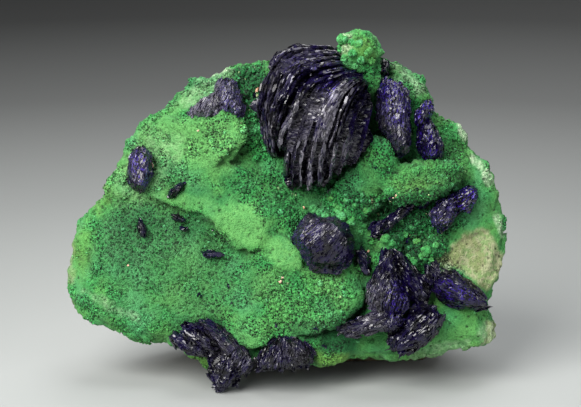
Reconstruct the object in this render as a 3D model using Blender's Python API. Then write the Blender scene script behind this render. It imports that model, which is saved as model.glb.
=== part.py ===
"""An azurite specimen: a plate of rock under a malachite crust, with a rosette of azurite and smaller azurite
crystals growing out of its face.

Everything is laid out in the face's own frame, in millimetres: u to the right, w up the face from the tip
of the lowest crystal, and d out of the face. The specimen then leans back, on a flat broken heel behind its
lower edge and on that crystal's tip.
"""

import math
from typing import NamedTuple

import bmesh
import bpy
from mathutils import Matrix, Vector, noise

# ---------------------------------------------------------------- driving dimensions, millimetres and degrees
MM = 0.001
LEAN = math.radians(14)  # how far the face leans back from upright
FACE_ZERO = (-0.3, -19.75, 0.0)  # where the face's zero lies, so that the box's bottom centre is the origin
SOCKET_GAP = 0.35  # clearance round a crystal in the socket that it grows from
SOCKET_FLARE = 1.15  # a corner moves out by this much more than its sides
ROOT = -4.0  # depth to which a small crystal reaches into the crust
ROOT_SHARE = 0.7  # a crystal's root is this much of its silhouette

SLAB_CENTRE = (0.0, 48.0)
SLAB_TOP = 95.0  # height at which a section's second depth holds
CRUST_VOXEL = 1.3
CRUST_TRIANGLES = 3250
SHARP_ANGLE = math.radians(50)  # folds of the crust sharper than this keep an edge
ROUGHNESS = ((9.0, 0.9), (3.5, 0.45))  # size of a lump and how far it stands out

# The plate's silhouette, anticlockwise from its left end.
OUTLINE = (
    (-60.0, 29.5), (-59.5, 26.0), (-58.0, 23.0), (-53.0, 20.5), (-50.0, 18.0), (-46.5, 17.5),
    (-40.0, 15.0), (-32.5, 13.5), (-26.5, 10.0), (-21.5, 7.5), (-14.0, 7.5), (-6.5, 8.5), (3.5, 8.5),
    (9.0, 8.0), (14.0, 8.0), (17.5, 10.0), (31.0, 10.0), (42.0, 11.5), (52.5, 13.5), (57.0, 14.0),
    (56.5, 18.5), (54.0, 23.5), (56.5, 29.5), (59.5, 35.5), (59.0, 40.0), (60.0, 46.5), (57.0, 51.5),
    (56.5, 58.5), (54.0, 63.0), (51.0, 65.5), (49.0, 69.5), (47.5, 73.0), (43.0, 74.0), (41.0, 78.0),
    (39.0, 82.5), (35.5, 87.0), (31.0, 89.0), (27.0, 92.0), (23.5, 93.0), (16.0, 92.0), (8.0, 90.5),
    (1.0, 90.0), (-4.0, 89.5), (-8.5, 89.5), (-12.5, 89.0), (-17.0, 87.5), (-21.0, 86.0), (-24.5, 84.0),
    (-28.0, 82.5), (-31.5, 81.0), (-32.0, 79.0), (-34.5, 77.5), (-37.5, 75.0), (-40.5, 73.5),
    (-41.5, 71.0), (-44.0, 67.5), (-45.0, 64.0), (-46.5, 60.5), (-49.5, 57.0), (-51.0, 53.0),
    (-54.0, 50.0), (-56.5, 47.0), (-58.0, 43.5), (-58.5, 39.5), (-59.5, 34.5),
)  # fmt: skip

# Sections of the slab from its face to its back: share of the silhouette, depth at its foot and at its top.
SECTIONS = (
    (0.80, 1.6, 0.6),
    (0.95, 0.2, -0.8),
    (1.00, -3.0, -3.5),
    (0.985, -13.0, -9.0),
    (0.88, -22.0, -14.0),
    (0.64, -29.0, -18.0),
    (0.34, -32.0, -21.0),
)

# The bulge of the slab's back, which is cut flat at its heel where the specimen rests: its profile as depth
# and height, and the share of that profile about its middle at stations across the part.
BULGE_PROFILE = (
    (-2.0, 16.0), (-9.0, 11.0), (-18.0, 9.0), (-26.0, 7.4), (-28.0, 3.0), (-39.0, 3.0), (-41.0, 16.0),
    (-39.0, 32.0), (-33.0, 50.0), (-25.0, 66.0), (-12.0, 78.0), (-4.0, 60.0),
)  # fmt: skip
BULGE_MIDDLE = (-16.0, 36.0)
BULGE_SPAN = (
    (-50.0, 0.34), (-42.0, 0.54), (-33.0, 0.68), (-18.0, 0.97), (6.0, 1.03), (30.0, 1.0), (42.0, 0.92),
    (51.0, 0.55),
)  # fmt: skip

# Ledges of crust: the corners of each one's upper face, as across, up and depth.
LEDGES = {
    "upper_left": (
        (-37.5, 74.0, 2.0), (-26.5, 75.0, 4.0), (-18.0, 76.5, 6.0), (-14.0, 75.5, 7.0),
        (-11.5, 74.0, 7.6), (-12.0, 70.5, 7.6), (-14.0, 66.5, 7.0), (-16.5, 64.0, 6.0),
        (-22.5, 60.5, 4.8), (-29.5, 60.5, 3.8), (-35.0, 64.0, 2.6),
    ),
    "middle": (
        (-36.0, 53.5, 2.6), (-32.0, 56.5, 3.4), (-23.5, 59.5, 4.0), (-14.0, 62.5, 4.6), (-6.5, 58.5, 4.0),
        (-0.5, 54.5, 3.8), (3.5, 49.0, 4.0), (1.5, 44.5, 4.4), (3.5, 39.5, 5.0), (5.0, 34.5, 5.0),
        (-3.0, 33.5, 5.0), (-10.0, 36.0, 4.6), (-12.0, 39.5, 4.8), (-17.5, 44.5, 4.8), (-19.5, 47.5, 4.8),
        (-26.5, 49.5, 3.8), (-32.5, 52.0, 2.8),
    ),
    "tongue": (
        (-24.5, 51.5, 5.0), (-17.0, 53.0, 6.0), (-10.0, 51.0, 6.4), (-5.5, 46.0, 6.6), (-5.0, 42.0, 6.4),
        (-9.5, 40.0, 6.0), (-14.0, 42.0, 6.0), (-17.5, 44.5, 6.0), (-20.5, 48.0, 5.4),
    ),
    "pad": (
        (-4.5, 42.0, 6.2), (1.0, 42.5, 6.6), (4.5, 38.0, 6.6), (3.5, 34.5, 6.2), (-2.0, 34.0, 6.0),
        (-4.5, 37.0, 6.0),
    ),
    "centre": (
        (-12.5, 36.0, 4.4), (3.5, 36.0, 5.0), (16.0, 36.0, 4.2), (20.5, 34.0, 2.6), (20.5, 25.5, 3.6),
        (16.0, 21.5, 4.8), (10.5, 18.0, 5.2), (8.5, 13.5, 4.4), (3.5, 15.5, 4.2), (-6.5, 15.0, 3.6),
        (-12.5, 17.0, 3.0), (-15.0, 25.5, 3.4),
    ),
    "bottom": (
        (-17.0, 25.5, 3.4), (-11.5, 24.5, 5.0), (-5.0, 18.0, 6.2), (-6.5, 13.5, 5.8), (-10.5, 12.5, 5.0),
        (-14.0, 16.0, 3.8),
    ),
    "ridge": (
        (16.0, 59.0, 7.0), (20.5, 62.5, 9.0), (23.0, 69.0, 10.0), (25.0, 70.0, 10.2), (28.0, 67.5, 9.4),
        (28.5, 64.0, 9.0), (31.5, 61.5, 9.0), (30.5, 58.0, 8.2), (27.0, 55.0, 7.2), (23.5, 51.0, 6.2),
        (17.5, 49.0, 5.0), (14.0, 52.0, 5.0), (13.0, 55.5, 6.0),
    ),
    "shelf": (
        (27.0, 55.5, 7.6), (31.0, 60.5, 8.2), (35.0, 63.0, 8.6), (43.5, 62.5, 7.6), (48.0, 61.0, 5.6),
        (46.0, 58.0, 7.0), (42.0, 55.5, 9.2), (38.0, 54.0, 10.0), (32.5, 53.0, 10.0), (29.0, 53.0, 8.4),
    ),
    "right_bank": (
        (43.5, 72.5, -1.0), (48.0, 72.0, -2.0), (50.0, 66.5, -1.2), (54.5, 61.5, -1.6),
        (56.0, 55.5, -1.8), (56.5, 50.5, -1.8), (53.0, 46.0, 0.6), (48.0, 46.0, 1.8), (45.0, 55.5, 2.0),
        (48.0, 60.5, 2.6), (43.5, 64.0, 2.0),
    ),
    "bare_patch": (
        (45.0, 40.5, 1.6), (48.0, 43.5, 1.4), (53.0, 45.0, 0.4), (56.0, 44.5, -0.8), (58.5, 40.5, -2.0),
        (59.0, 35.5, -2.8), (55.5, 29.5, -2.0), (52.0, 30.5, 0.0), (48.0, 33.5, 1.4), (44.5, 36.0, 1.8),
    ),
    "top_right": (
        (25.0, 86.0, 0.0), (29.0, 90.5, -1.2), (32.0, 88.0, -0.4), (36.0, 86.0, -0.4), (39.0, 81.5, 0.0),
        (38.0, 79.0, 1.2), (33.5, 81.5, 2.2), (29.0, 84.5, 1.4),
    ),
    "toe": (
        (9.5, 13.5, 3.0), (13.0, 17.0, 2.6), (16.0, 15.0, 2.2), (17.0, 10.5, 1.4), (13.5, 8.2, 1.0),
        (9.5, 8.2, 1.8),
    ),
}  # fmt: skip
LEDGE_FOOT = -3.0
LEDGE_SPREAD = 1.05  # a ledge is this much wider at its foot

# Rounded lumps of crust: centre across, up and out, then radius across, up and out.
LUMPS = (
    (19.6, 93.4, 9.0, 5.6, 5.8, 4.8), (22.4, 90.0, 6.0, 4.4, 5.2, 5.0), (22.8, 86.0, 3.0, 3.0, 5.5, 5.0),
    (17.6, 95.6, 9.6, 3.6, 3.2, 3.4), (22.5, 94.0, 6.0, 3.4, 3.6, 6.0), (-12.5, 87.0, 0.0, 4.2, 2.8, 3.4),
    (-8.5, 86.0, -0.5, 3.6, 3.2, 3.2), (-10.5, 81.5, 0.5, 2.8, 2.8, 3.2),
    (-10.3, 76.8, 0.6, 2.8, 3.4, 3.2), (-9.5, 71.0, 1.0, 2.6, 2.8, 3.0),
    (-25.5, 86.0, -2.0, 3.0, 1.6, 2.0), (12.0, 53.0, 3.2, 2.4, 2.4, 2.6),
    (15.0, 48.8, 3.0, 3.2, 4.2, 3.4), (18.2, 47.0, 2.6, 2.6, 3.0, 3.0), (28.6, 41.4, 3.0, 4.0, 2.4, 3.0),
    (39.6, 39.0, 1.6, 3.6, 3.0, 2.8), (35.6, 37.0, 1.4, 3.4, 3.4, 2.8), (34.0, 47.0, 1.4, 3.4, 2.8, 2.8),
    (30.6, 44.4, 0.6, 3.0, 2.6, 2.6), (17.6, 40.4, 2.0, 2.4, 2.6, 2.8), (22.0, 43.4, 1.0, 2.2, 2.6, 2.4),
    (9.6, 47.4, 4.2, 3.2, 2.2, 2.6), (26.0, 36.0, 1.0, 3.0, 3.0, 2.6), (46.0, 71.0, -2.4, 3.4, 2.6, 2.6),
    (53.5, 60.5, -1.6, 2.4, 3.8, 2.2), (-55.6, 40.0, -2.4, 2.4, 8.0, 3.2),
    (-46.0, 56.5, -1.0, 4.0, 5.0, 3.0), (36.5, 85.5, -1.4, 3.0, 2.6, 2.6),
    (41.5, 66.5, 0.8, 2.6, 3.4, 2.6),
)  # fmt: skip


class Block(NamedTuple):
    """One crystal: its silhouette, the depths of its rim and crown, the crown's share of the silhouette along
    and across, and how the block slopes out to the right and upwards."""

    corners: tuple
    rim: float
    crown: float
    top: tuple
    slope: tuple


class Petal(NamedTuple):
    """One blade of the rosette: the run of its free edge as across, up and out, and its foot's share of that
    run about the rosette's axis."""

    edge: tuple
    foot: float


# The crystals, each as the blocks that have grown together in it.
CRYSTALS = {
    "azurite_upper_left": (
        Block(
            (
                (-27.2, 76.5), (-24.5, 79.5), (-22.0, 81.4), (-19.8, 82.5), (-17.6, 79.2), (-17.6, 75.7),
                (-22.3, 75.1), (-25.8, 75.1),
            ),
            rim=4.4, crown=7.0, top=(0.45, 0.3), slope=(0.16, 0.05),
        ),
        Block(
            (
                (-19.8, 84.7), (-17.6, 86.1), (-13.8, 85.2), (-12.4, 81.7), (-11.1, 77.0), (-11.9, 74.6),
                (-14.9, 75.7), (-17.6, 77.0), (-19.0, 80.9),
            ),
            rim=4.6, crown=8.6, top=(0.62, 0.34), slope=(-0.1, -0.12),
        ),
    ),
    "azurite_left_edge": (
        Block(
            (
                (-41.7, 67.2), (-40.0, 67.8), (-37.8, 66.9), (-36.5, 65.0), (-36.7, 62.6), (-36.2, 60.1),
                (-37.6, 57.4), (-39.2, 54.9), (-41.9, 55.5), (-43.6, 57.7), (-43.9, 61.2), (-43.3, 64.5),
            ),
            rim=2.4, crown=6.4, top=(0.7, 0.58), slope=(0.1, 0.0),
        ),
    ),
    "azurite_centre_block": (
        Block(
            (
                (5.9, 49.5), (9.7, 48.1), (13.5, 48.4), (16.0, 45.9), (17.9, 43.2), (17.9, 38.3),
                (16.3, 35.0), (12.7, 33.6), (7.5, 33.6), (4.5, 37.7), (1.5, 42.1), (2.9, 45.4),
            ),
            rim=7.0, crown=12.6, top=(0.72, 0.62), slope=(0.02, -0.1),
        ),
    ),
    "azurite_tall_right": (
        Block(
            (
                (24.8, 85.2), (26.8, 86.3), (30.5, 85.5), (33.2, 83.1), (34.0, 78.7), (33.7, 73.5),
                (34.3, 69.4), (32.9, 65.3), (30.2, 64.2), (28.6, 66.7), (27.5, 69.4), (25.0, 72.1),
                (24.3, 76.2), (24.4, 80.9),
            ),
            rim=6.0, crown=12.4, top=(0.66, 0.5), slope=(-0.08, -0.06),
        ),
    ),
    "azurite_right_rim": (
        Block(
            (
                (35.9, 74.3), (39.8, 75.4), (41.4, 72.1), (43.0, 68.0), (43.0, 64.5), (40.8, 62.3),
                (37.6, 62.8), (36.2, 66.1), (35.1, 69.9),
            ),
            rim=4.0, crown=9.4, top=(0.6, 0.46), slope=(-0.04, -0.16),
        ),
        Block(
            (
                (34.7, 73.7), (35.0, 77.0), (37.2, 79.5), (39.8, 80.1), (40.6, 77.6), (39.2, 75.0),
                (36.2, 72.8),
            ),
            rim=4.4, crown=8.4, top=(0.6, 0.4), slope=(-0.14, -0.06),
        ),
    ),
    "azurite_top_chip": (
        Block(
            (
                (24.5, 88.0), (25.3, 90.7), (26.6, 92.1), (28.3, 90.2), (28.0, 87.2), (26.1, 86.3),
            ),
            rim=2.6, crown=5.2, top=(0.6, 0.5), slope=(0.0, -0.1),
        ),
    ),
    "azurite_right_twins": (
        Block(
            (
                (39.5, 50.8), (41.9, 53.6), (45.2, 54.6), (47.4, 53.0), (46.9, 48.9), (44.7, 45.4),
                (41.9, 43.7), (39.8, 45.9), (38.7, 48.6),
            ),
            rim=3.6, crown=9.0, top=(0.6, 0.55), slope=(-0.05, -0.05),
        ),
        Block(
            (
                (44.7, 54.1), (48.0, 56.6), (51.2, 57.1), (52.9, 55.7), (52.3, 52.2), (50.1, 49.2),
                (47.4, 49.2), (45.2, 50.8),
            ),
            rim=3.0, crown=7.4, top=(0.62, 0.5), slope=(-0.1, 0.0),
        ),
    ),
    "azurite_lower_blade": (
        Block(
            (
                (39.8, 30.6), (41.9, 33.3), (45.5, 33.9), (48.8, 32.0), (53.1, 28.7), (54.8, 26.5),
                (54.2, 22.7), (49.6, 23.2), (46.0, 23.2), (42.5, 25.1), (40.3, 27.6),
            ),
            rim=3.4, crown=7.6, top=(0.74, 0.44), slope=(-0.1, 0.12),
        ),
    ),
    "azurite_crossed_blades": (
        Block(
            (
                (25.8, 39.1), (28.3, 40.2), (29.9, 37.7), (31.6, 33.3), (33.2, 26.2), (32.1, 22.1),
                (27.7, 21.3), (23.4, 23.0), (21.7, 26.2), (22.0, 29.0), (23.6, 33.3), (25.5, 36.1),
            ),
            rim=6.0, crown=12.4, top=(0.66, 0.34), slope=(0.06, -0.12),
        ),
        Block(
            (
                (15.4, 19.1), (17.9, 20.5), (22.8, 22.4), (28.8, 23.5), (31.6, 20.8), (31.6, 17.2),
                (26.9, 17.2), (21.4, 16.7), (17.9, 15.0), (16.3, 15.8),
            ),
            rim=5.6, crown=11.0, top=(0.8, 0.4), slope=(0.0, 0.25),
        ),
        Block(
            (
                (32.1, 20.8), (34.8, 24.6), (37.8, 25.1), (40.8, 22.7), (42.5, 20.2), (41.9, 16.9),
                (39.2, 13.7), (35.9, 11.2), (32.4, 10.9), (29.1, 12.3), (27.2, 15.8), (29.9, 17.5),
            ),
            rim=4.4, crown=9.6, top=(0.66, 0.52), slope=(-0.06, 0.1),
        ),
        Block(
            (
                (28.3, 39.9), (31.0, 39.3), (34.3, 36.1), (37.6, 32.2), (39.2, 29.0), (38.7, 26.2),
                (34.8, 25.1), (33.2, 26.2), (31.6, 31.1), (29.9, 36.1),
            ),
            rim=4.0, crown=8.6, top=(0.72, 0.34), slope=(-0.1, -0.05),
        ),
        Block(
            (
                (36.6, 31.2), (39.8, 35.0), (41.9, 34.7), (40.8, 31.7), (38.2, 28.5),
            ),
            rim=3.4, crown=6.4, top=(0.6, 0.4), slope=(0.0, 0.0),
        ),
    ),
    "azurite_thin_blade": (
        Block(
            (
                (26.1, 44.0), (25.0, 45.9), (29.4, 49.7), (33.2, 52.2), (34.6, 51.1), (31.0, 47.8),
                (28.0, 44.5),
            ),
            rim=4.4, crown=7.6, top=(0.85, 0.3), slope=(0.02, 0.0),
        ),
        Block(
            (
                (22.8, 45.9), (25.0, 47.3), (27.0, 45.4), (26.2, 42.4), (23.9, 42.6),
            ),
            rim=3.4, crown=6.2, top=(0.6, 0.5), slope=(0.0, 0.0),
        ),
    ),
    "azurite_under_shelf": (
        Block(
            (
                (34.4, 51.6), (35.6, 53.3), (38.2, 54.2), (40.2, 53.8), (38.6, 51.2), (36.4, 50.2),
            ),
            rim=2.0, crown=4.6, top=(0.7, 0.5), slope=(0.0, 0.0),
        ),
    ),
    "azurite_lowest_cluster": (
        Block(
            (
                (-31.6, 14.2), (-31.3, 16.1), (-28.8, 16.9), (-28.0, 19.4), (-24.7, 19.9), (-22.0, 19.7),
                (-19.6, 16.1), (-19.6, 12.0), (-22.0, 9.8), (-25.8, 10.4), (-28.0, 11.7), (-29.9, 12.8),
            ),
            rim=2.6, crown=7.6, top=(0.62, 0.56), slope=(0.06, 0.0),
        ),
        Block(
            (
                (-23.6, 20.2), (-20.9, 20.5), (-16.5, 17.5), (-12.7, 13.9), (-10.6, 11.2), (-9.2, 8.4),
                (-9.6, 6.2), (-11.6, 5.5), (-13.8, 7.7), (-17.6, 11.5), (-21.4, 15.3),
            ),
            rim=3.0, crown=8.2, top=(0.8, 0.34), slope=(-0.1, 0.05),
        ),
        Block(
            (
                (-21.4, 9.8), (-16.8, 12.5), (-12.7, 10.3), (-12.2, 6.6), (-13.5, 3.0), (-19.0, 0.0),
                (-20.4, 3.3), (-21.4, 4.4),
            ),
            rim=1.0, crown=5.0, top=(0.62, 0.5), slope=(0.0, 0.16),
        ),
    ),
    "azurite_bottom_fan": (
        Block(
            (
                (-6.7, 12.6), (-5.1, 15.3), (-1.8, 16.4), (2.6, 15.8), (5.9, 14.2), (7.8, 11.2),
                (7.0, 9.0), (5.3, 7.1), (-0.4, 6.6), (-6.1, 6.0), (-8.1, 7.1), (-8.3, 10.4),
            ),
            rim=2.4, crown=8.0, top=(0.72, 0.5), slope=(0.0, 0.06),
        ),
    ),
    "azurite_slip": (
        Block(
            (
                (18.5, 38.6), (20.2, 39.9), (22.1, 38.8), (23.1, 36.3), (22.7, 34.4), (21.7, 32.4),
                (20.6, 33.9), (19.4, 36.4),
            ),
            rim=2.6, crown=5.0, top=(0.75, 0.4), slope=(0.0, 0.0),
        ),
    ),
    "azurite_grain_upper": (
        Block(
            (
                (-32.7, 54.1), (-31.6, 56.0), (-29.4, 57.7), (-27.7, 57.9), (-28.3, 56.3), (-30.5, 53.8),
                (-31.8, 53.3),
            ),
            rim=3.8, crown=5.2, top=(0.7, 0.3), slope=(0.0, 0.0),
        ),
    ),
    "azurite_grain_left": (
        Block(
            (
                (-40.8, 48.1), (-39.8, 47.8), (-38.4, 45.4), (-38.4, 43.4), (-39.8, 42.9), (-40.8, 44.8),
            ),
            rim=2.4, crown=3.8, top=(0.7, 0.3), slope=(0.0, 0.0),
        ),
    ),
    "azurite_grain_middle": (
        Block(
            (
                (-31.6, 49.3), (-29.6, 49.1), (-27.3, 47.6), (-28.1, 46.7), (-30.7, 47.4),
            ),
            rim=2.4, crown=3.6, top=(0.7, 0.3), slope=(0.0, 0.0),
        ),
    ),
    "azurite_grain_inner": (
        Block(
            (
                (-29.5, 45.9), (-26.8, 45.6), (-27.1, 44.2), (-29.2, 44.5),
            ),
            rim=2.4, crown=3.4, top=(0.6, 0.3), slope=(0.0, 0.0),
        ),
    ),
    "azurite_grain_lower": (
        Block(
            (
                (-23.4, 38.8), (-20.4, 39.3), (-17.3, 38.4), (-18.2, 37.2), (-22.0, 37.2),
            ),
            rim=2.4, crown=3.8, top=(0.7, 0.3), slope=(0.0, 0.0),
        ),
    ),
}  # fmt: skip

# The rosette. Its petals run from the outermost inwards.
PETAL_CENTRE = (16.0, 66.5)
PETAL_REACH = 11.0  # depth of a petal from its free edge to its foot
PETAL_EDGE = 0.9
PETAL_FOOT = 2.6
PETALS = (
    Petal(
        (
            (14.6, 95.1, 5.0), (8.6, 94.8, 6.0), (3.7, 95.4, 7.0), (0.4, 94.5, 7.0), (-3.1, 91.8, 7.0),
            (-5.1, 88.0, 7.0), (-7.5, 83.6, 6.0), (-8.3, 79.2, 6.0), (-7.8, 74.3, 5.0), (-6.7, 68.9, 4.0),
        ),
        foot=0.8,
    ),
    Petal(
        (
            (15.2, 93.4, 8.0), (9.7, 93.4, 9.0), (4.5, 93.0, 10.0), (0.4, 91.4, 10.0), (-2.9, 88.0, 10.0),
            (-5.1, 82.5, 10.0), (-6.2, 76.2, 9.0), (-5.9, 69.9, 7.0), (-5.1, 65.3, 5.0),
        ),
        foot=0.86,
    ),
    Petal(
        (
            (15.4, 91.8, 10.0), (9.7, 91.5, 12.0), (4.2, 90.6, 13.0), (0.7, 88.3, 13.0),
            (-1.8, 83.6, 13.0), (-3.7, 78.1, 12.0), (-4.5, 72.7, 11.0), (-4.2, 67.2, 8.0),
            (-3.4, 63.9, 6.0),
        ),
        foot=0.92,
    ),
    Petal(
        (
            (15.4, 90.2, 12.0), (10.5, 89.6, 14.0), (5.3, 88.4, 15.0), (2.3, 85.8, 16.0),
            (0.4, 81.1, 16.0), (-1.5, 76.0, 15.0), (-2.9, 70.5, 13.0), (-2.9, 65.3, 10.0),
        ),
        foot=0.96,
    ),
    Petal(
        (
            (16.0, 88.5, 13.0), (10.8, 87.7, 16.0), (6.4, 85.8, 17.0), (3.7, 82.0, 18.0),
            (2.0, 77.6, 18.0), (0.4, 72.7, 17.0), (-1.0, 67.8, 15.0), (-1.0, 63.4, 12.0),
        ),
        foot=1.0,
    ),
    Petal(
        (
            (17.3, 87.4, 14.0), (12.7, 86.1, 17.0), (8.6, 84.2, 19.0), (6.1, 80.9, 20.0),
            (4.5, 76.5, 20.0), (3.1, 72.1, 19.0), (1.5, 66.7, 17.0), (1.0, 61.2, 14.0), (1.2, 57.2, 11.0),
        ),
        foot=1.04,
    ),
    Petal(
        (
            (19.5, 87.4, 15.0), (15.2, 85.5, 18.0), (11.3, 83.1, 20.0), (8.9, 79.8, 21.0),
            (7.2, 75.4, 21.0), (5.9, 70.5, 20.0), (4.2, 65.3, 18.0), (3.7, 60.7, 15.0), (4.2, 56.6, 12.0),
        ),
        foot=1.06,
    ),
    Petal(
        (
            (21.2, 86.9, 16.0), (17.3, 84.7, 19.0), (14.1, 81.7, 21.0), (12.2, 77.6, 22.0),
            (10.8, 73.2, 22.0), (9.4, 68.0, 20.0), (8.1, 62.6, 17.0), (7.8, 57.0, 13.0),
        ),
        foot=1.06,
    ),
    Petal(
        (
            (22.0, 85.2, 14.0), (19.3, 82.5, 18.0), (17.1, 79.0, 20.0), (15.7, 74.3, 21.0),
            (14.6, 69.4, 20.0), (13.0, 63.9, 17.0), (11.3, 57.8, 12.0),
        ),
        foot=1.02,
    ),
    Petal(
        (
            (22.4, 82.5, 12.0), (21.0, 79.0, 16.0), (19.5, 74.3, 18.0), (18.4, 69.4, 17.0),
            (17.1, 65.0, 15.0), (15.4, 61.4, 11.0),
        ),
        foot=0.98,
    ),
    Petal(
        (
            (22.8, 78.1, 10.0), (22.2, 73.5, 13.0), (21.6, 68.9, 13.0), (20.2, 64.5, 11.0),
            (18.5, 62.4, 8.0),
        ),
        foot=0.92,
    ),
)  # fmt: skip
ROSETTE_HEART = (
    (-6.0, 80.0), (-3.6, 86.4), (0.2, 90.6), (6.4, 91.8), (15.4, 91.0), (20.6, 86.0), (21.6, 77.6),
    (20.8, 69.4), (18.4, 64.0), (13.6, 60.4), (10.4, 58.6), (3.1, 58.4), (-0.6, 62.6), (-3.6, 66.7),
    (-5.4, 72.1),
)  # fmt: skip
HEART_REACH = 12.0  # from the heart's axis to its nearest side
HEART_SECTIONS = ((0.74, -7.0), (0.94, 0.0), (0.92, 5.0), (0.72, 10.0), (0.40, 13.0))

# Finishes: base colour and roughness.
MALACHITE = ((0.07, 0.30, 0.11), 0.75)
AZURITE = ((0.015, 0.010, 0.045), 0.28)


# ------------------------------------------------------------------ shapes


def spot(u, w, d):
    """A point of the face's frame."""
    return Vector((u, -d, w)) * MM


def middle(points):
    """The mean of points across and up the face."""
    return sum(p[0] for p in points) / len(points), sum(p[1] for p in points) / len(points)


def scaled(points, share, centre):
    return [(centre[0] + (u - centre[0]) * share, centre[1] + (w - centre[1]) * share) for u, w in points]


def loft(bm, rings):
    """A closed skin over rings of equal count, with both ends filled. Its diagonals all run the same way."""
    rows = [[bm.verts.new(p) for p in ring] for ring in rings]
    count = len(rows[0])
    for low, high in zip(rows, rows[1:]):
        for i in range(count):
            j = (i + 1) % count
            bm.faces.new((low[i], low[j], high[j]))
            bm.faces.new((low[i], high[j], high[i]))
    bm.faces.new(list(reversed(rows[0])))
    bm.faces.new(rows[-1])


def closed(bm):
    """Triangulates and turns every face outwards."""
    bmesh.ops.triangulate(bm, faces=[f for f in bm.faces if len(f.verts) > 3])
    bmesh.ops.recalc_face_normals(bm, faces=bm.faces)


def new_object(name, bm, material=None, helper=False):
    mesh = bpy.data.meshes.new(name)
    bm.to_mesh(mesh)
    bm.free()
    obj = bpy.data.objects.new(name, mesh)
    bpy.context.scene.collection.objects.link(obj)
    if material:
        mesh.materials.append(material)
    if helper:
        obj.hide_render = True
        obj.display_type = "WIRE"
    return obj


def evaluated(obj):
    """A bmesh of the object with its modifiers applied."""
    graph = bpy.context.evaluated_depsgraph_get()
    graph.update()
    bm = bmesh.new()
    bm.from_object(obj, graph)
    return bm


def combined(base, others, operation):
    """A bmesh of base with the other objects joined to it or cut from it, which uses them all up."""
    for other in others:
        modifier = base.modifiers.new(operation.title(), "BOOLEAN")
        modifier.operation = operation
        modifier.solver = "EXACT"
        modifier.object = other
    bm = evaluated(base)
    for obj in (base, *others):
        bpy.data.objects.remove(obj)
    return bm


def keep_largest(bm):
    """Drops the chips that a cut leaves loose."""
    left = set(bm.verts)
    islands = []
    while left:
        found = [left.pop()]
        for vert in found:
            for edge in vert.link_edges:
                other = edge.other_vert(vert)
                if other in left:
                    left.remove(other)
                    found.append(other)
        islands.append(found)
    islands.sort(key=len)
    bmesh.ops.delete(bm, geom=[v for island in islands[:-1] for v in island], context="VERTS")


# ------------------------------------------------------------------ the crusted rock


def add_slab(bm):
    rings = []
    for share, at_foot, at_top in SECTIONS:
        ring = scaled(OUTLINE, share, SLAB_CENTRE)
        rings.append([spot(u, w, at_foot + (at_top - at_foot) * w / SLAB_TOP) for u, w in ring])
    loft(bm, rings)


def add_bulge(bm):
    """The back of the rock, thickest near its foot, with the heel that the specimen rests on."""
    rings = []
    for u, share in BULGE_SPAN:
        rings.append([spot(u, w, d) for d, w in scaled(BULGE_PROFILE, share, BULGE_MIDDLE)])
    loft(bm, rings)


def add_ledge(bm, corners):
    flat = [(u, w) for u, w, _ in corners]
    foot = scaled(flat, LEDGE_SPREAD, middle(flat))
    loft(bm, ([spot(u, w, LEDGE_FOOT) for u, w in foot], [spot(*corner) for corner in corners]))


def add_lump(bm, u, w, d, across, up, out):
    shape = Matrix.Translation(spot(u, w, d)) @ Matrix.Diagonal((across * MM, out * MM, up * MM, 1.0))
    bmesh.ops.create_icosphere(bm, subdivisions=2, radius=1.0, matrix=shape)


def roughen(bm):
    bm.normal_update()
    moves = []
    for vert in bm.verts:
        swell = sum(noise.noise(vert.co / (size * MM)) * height * MM for size, height in ROUGHNESS)
        moves.append(vert.normal * swell)
    for vert, move in zip(bm.verts, moves):
        vert.co += move


def cut_at_rest(bm):
    """Takes off what lies below the surface that the leaning specimen rests on, and fills the cut."""
    upwards = Vector((0.0, -math.sin(LEAN), math.cos(LEAN)))
    cut = bmesh.ops.bisect_plane(
        bm, geom=[*bm.verts, *bm.edges, *bm.faces], plane_co=(0, 0, 0), plane_no=upwards, clear_inner=True
    )
    rim = [e for e in cut["geom_cut"] if isinstance(e, bmesh.types.BMEdge)]
    bmesh.ops.contextual_create(bm, geom=rim)


def rock():
    bm = bmesh.new()
    add_slab(bm)
    add_bulge(bm)
    for corners in LEDGES.values():
        add_ledge(bm, corners)
    for lump in LUMPS:
        add_lump(bm, *lump)
    closed(bm)
    crude = new_object("crude_rock", bm)
    skin = crude.modifiers.new("Skin", "REMESH")
    skin.mode = "VOXEL"
    skin.voxel_size = CRUST_VOXEL * MM
    bm = evaluated(crude)
    bpy.data.objects.remove(crude)
    bmesh.ops.smooth_vert(bm, verts=bm.verts, factor=0.5, use_axis_x=True, use_axis_y=True, use_axis_z=True)
    roughen(bm)
    bmesh.ops.triangulate(bm, faces=bm.faces)
    share = CRUST_TRIANGLES / len(bm.faces)
    smooth = new_object("smooth_rock", bm)
    thin = smooth.modifiers.new("Facets", "DECIMATE")
    thin.ratio = share
    bm = evaluated(smooth)
    bpy.data.objects.remove(smooth)
    cut_at_rest(bm)
    keep_largest(bm)
    closed(bm)
    return bm


# ------------------------------------------------------------------ crystals


def long_axis(points):
    """The direction in which the silhouette is longest, as an angle from the right."""
    cu, cw = middle(points)
    uu = sum((u - cu) ** 2 for u, _ in points)
    ww = sum((w - cw) ** 2 for _, w in points)
    uw = sum((u - cu) * (w - cw) for u, w in points)
    return 0.5 * math.atan2(2 * uw, uu - ww)


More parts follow.
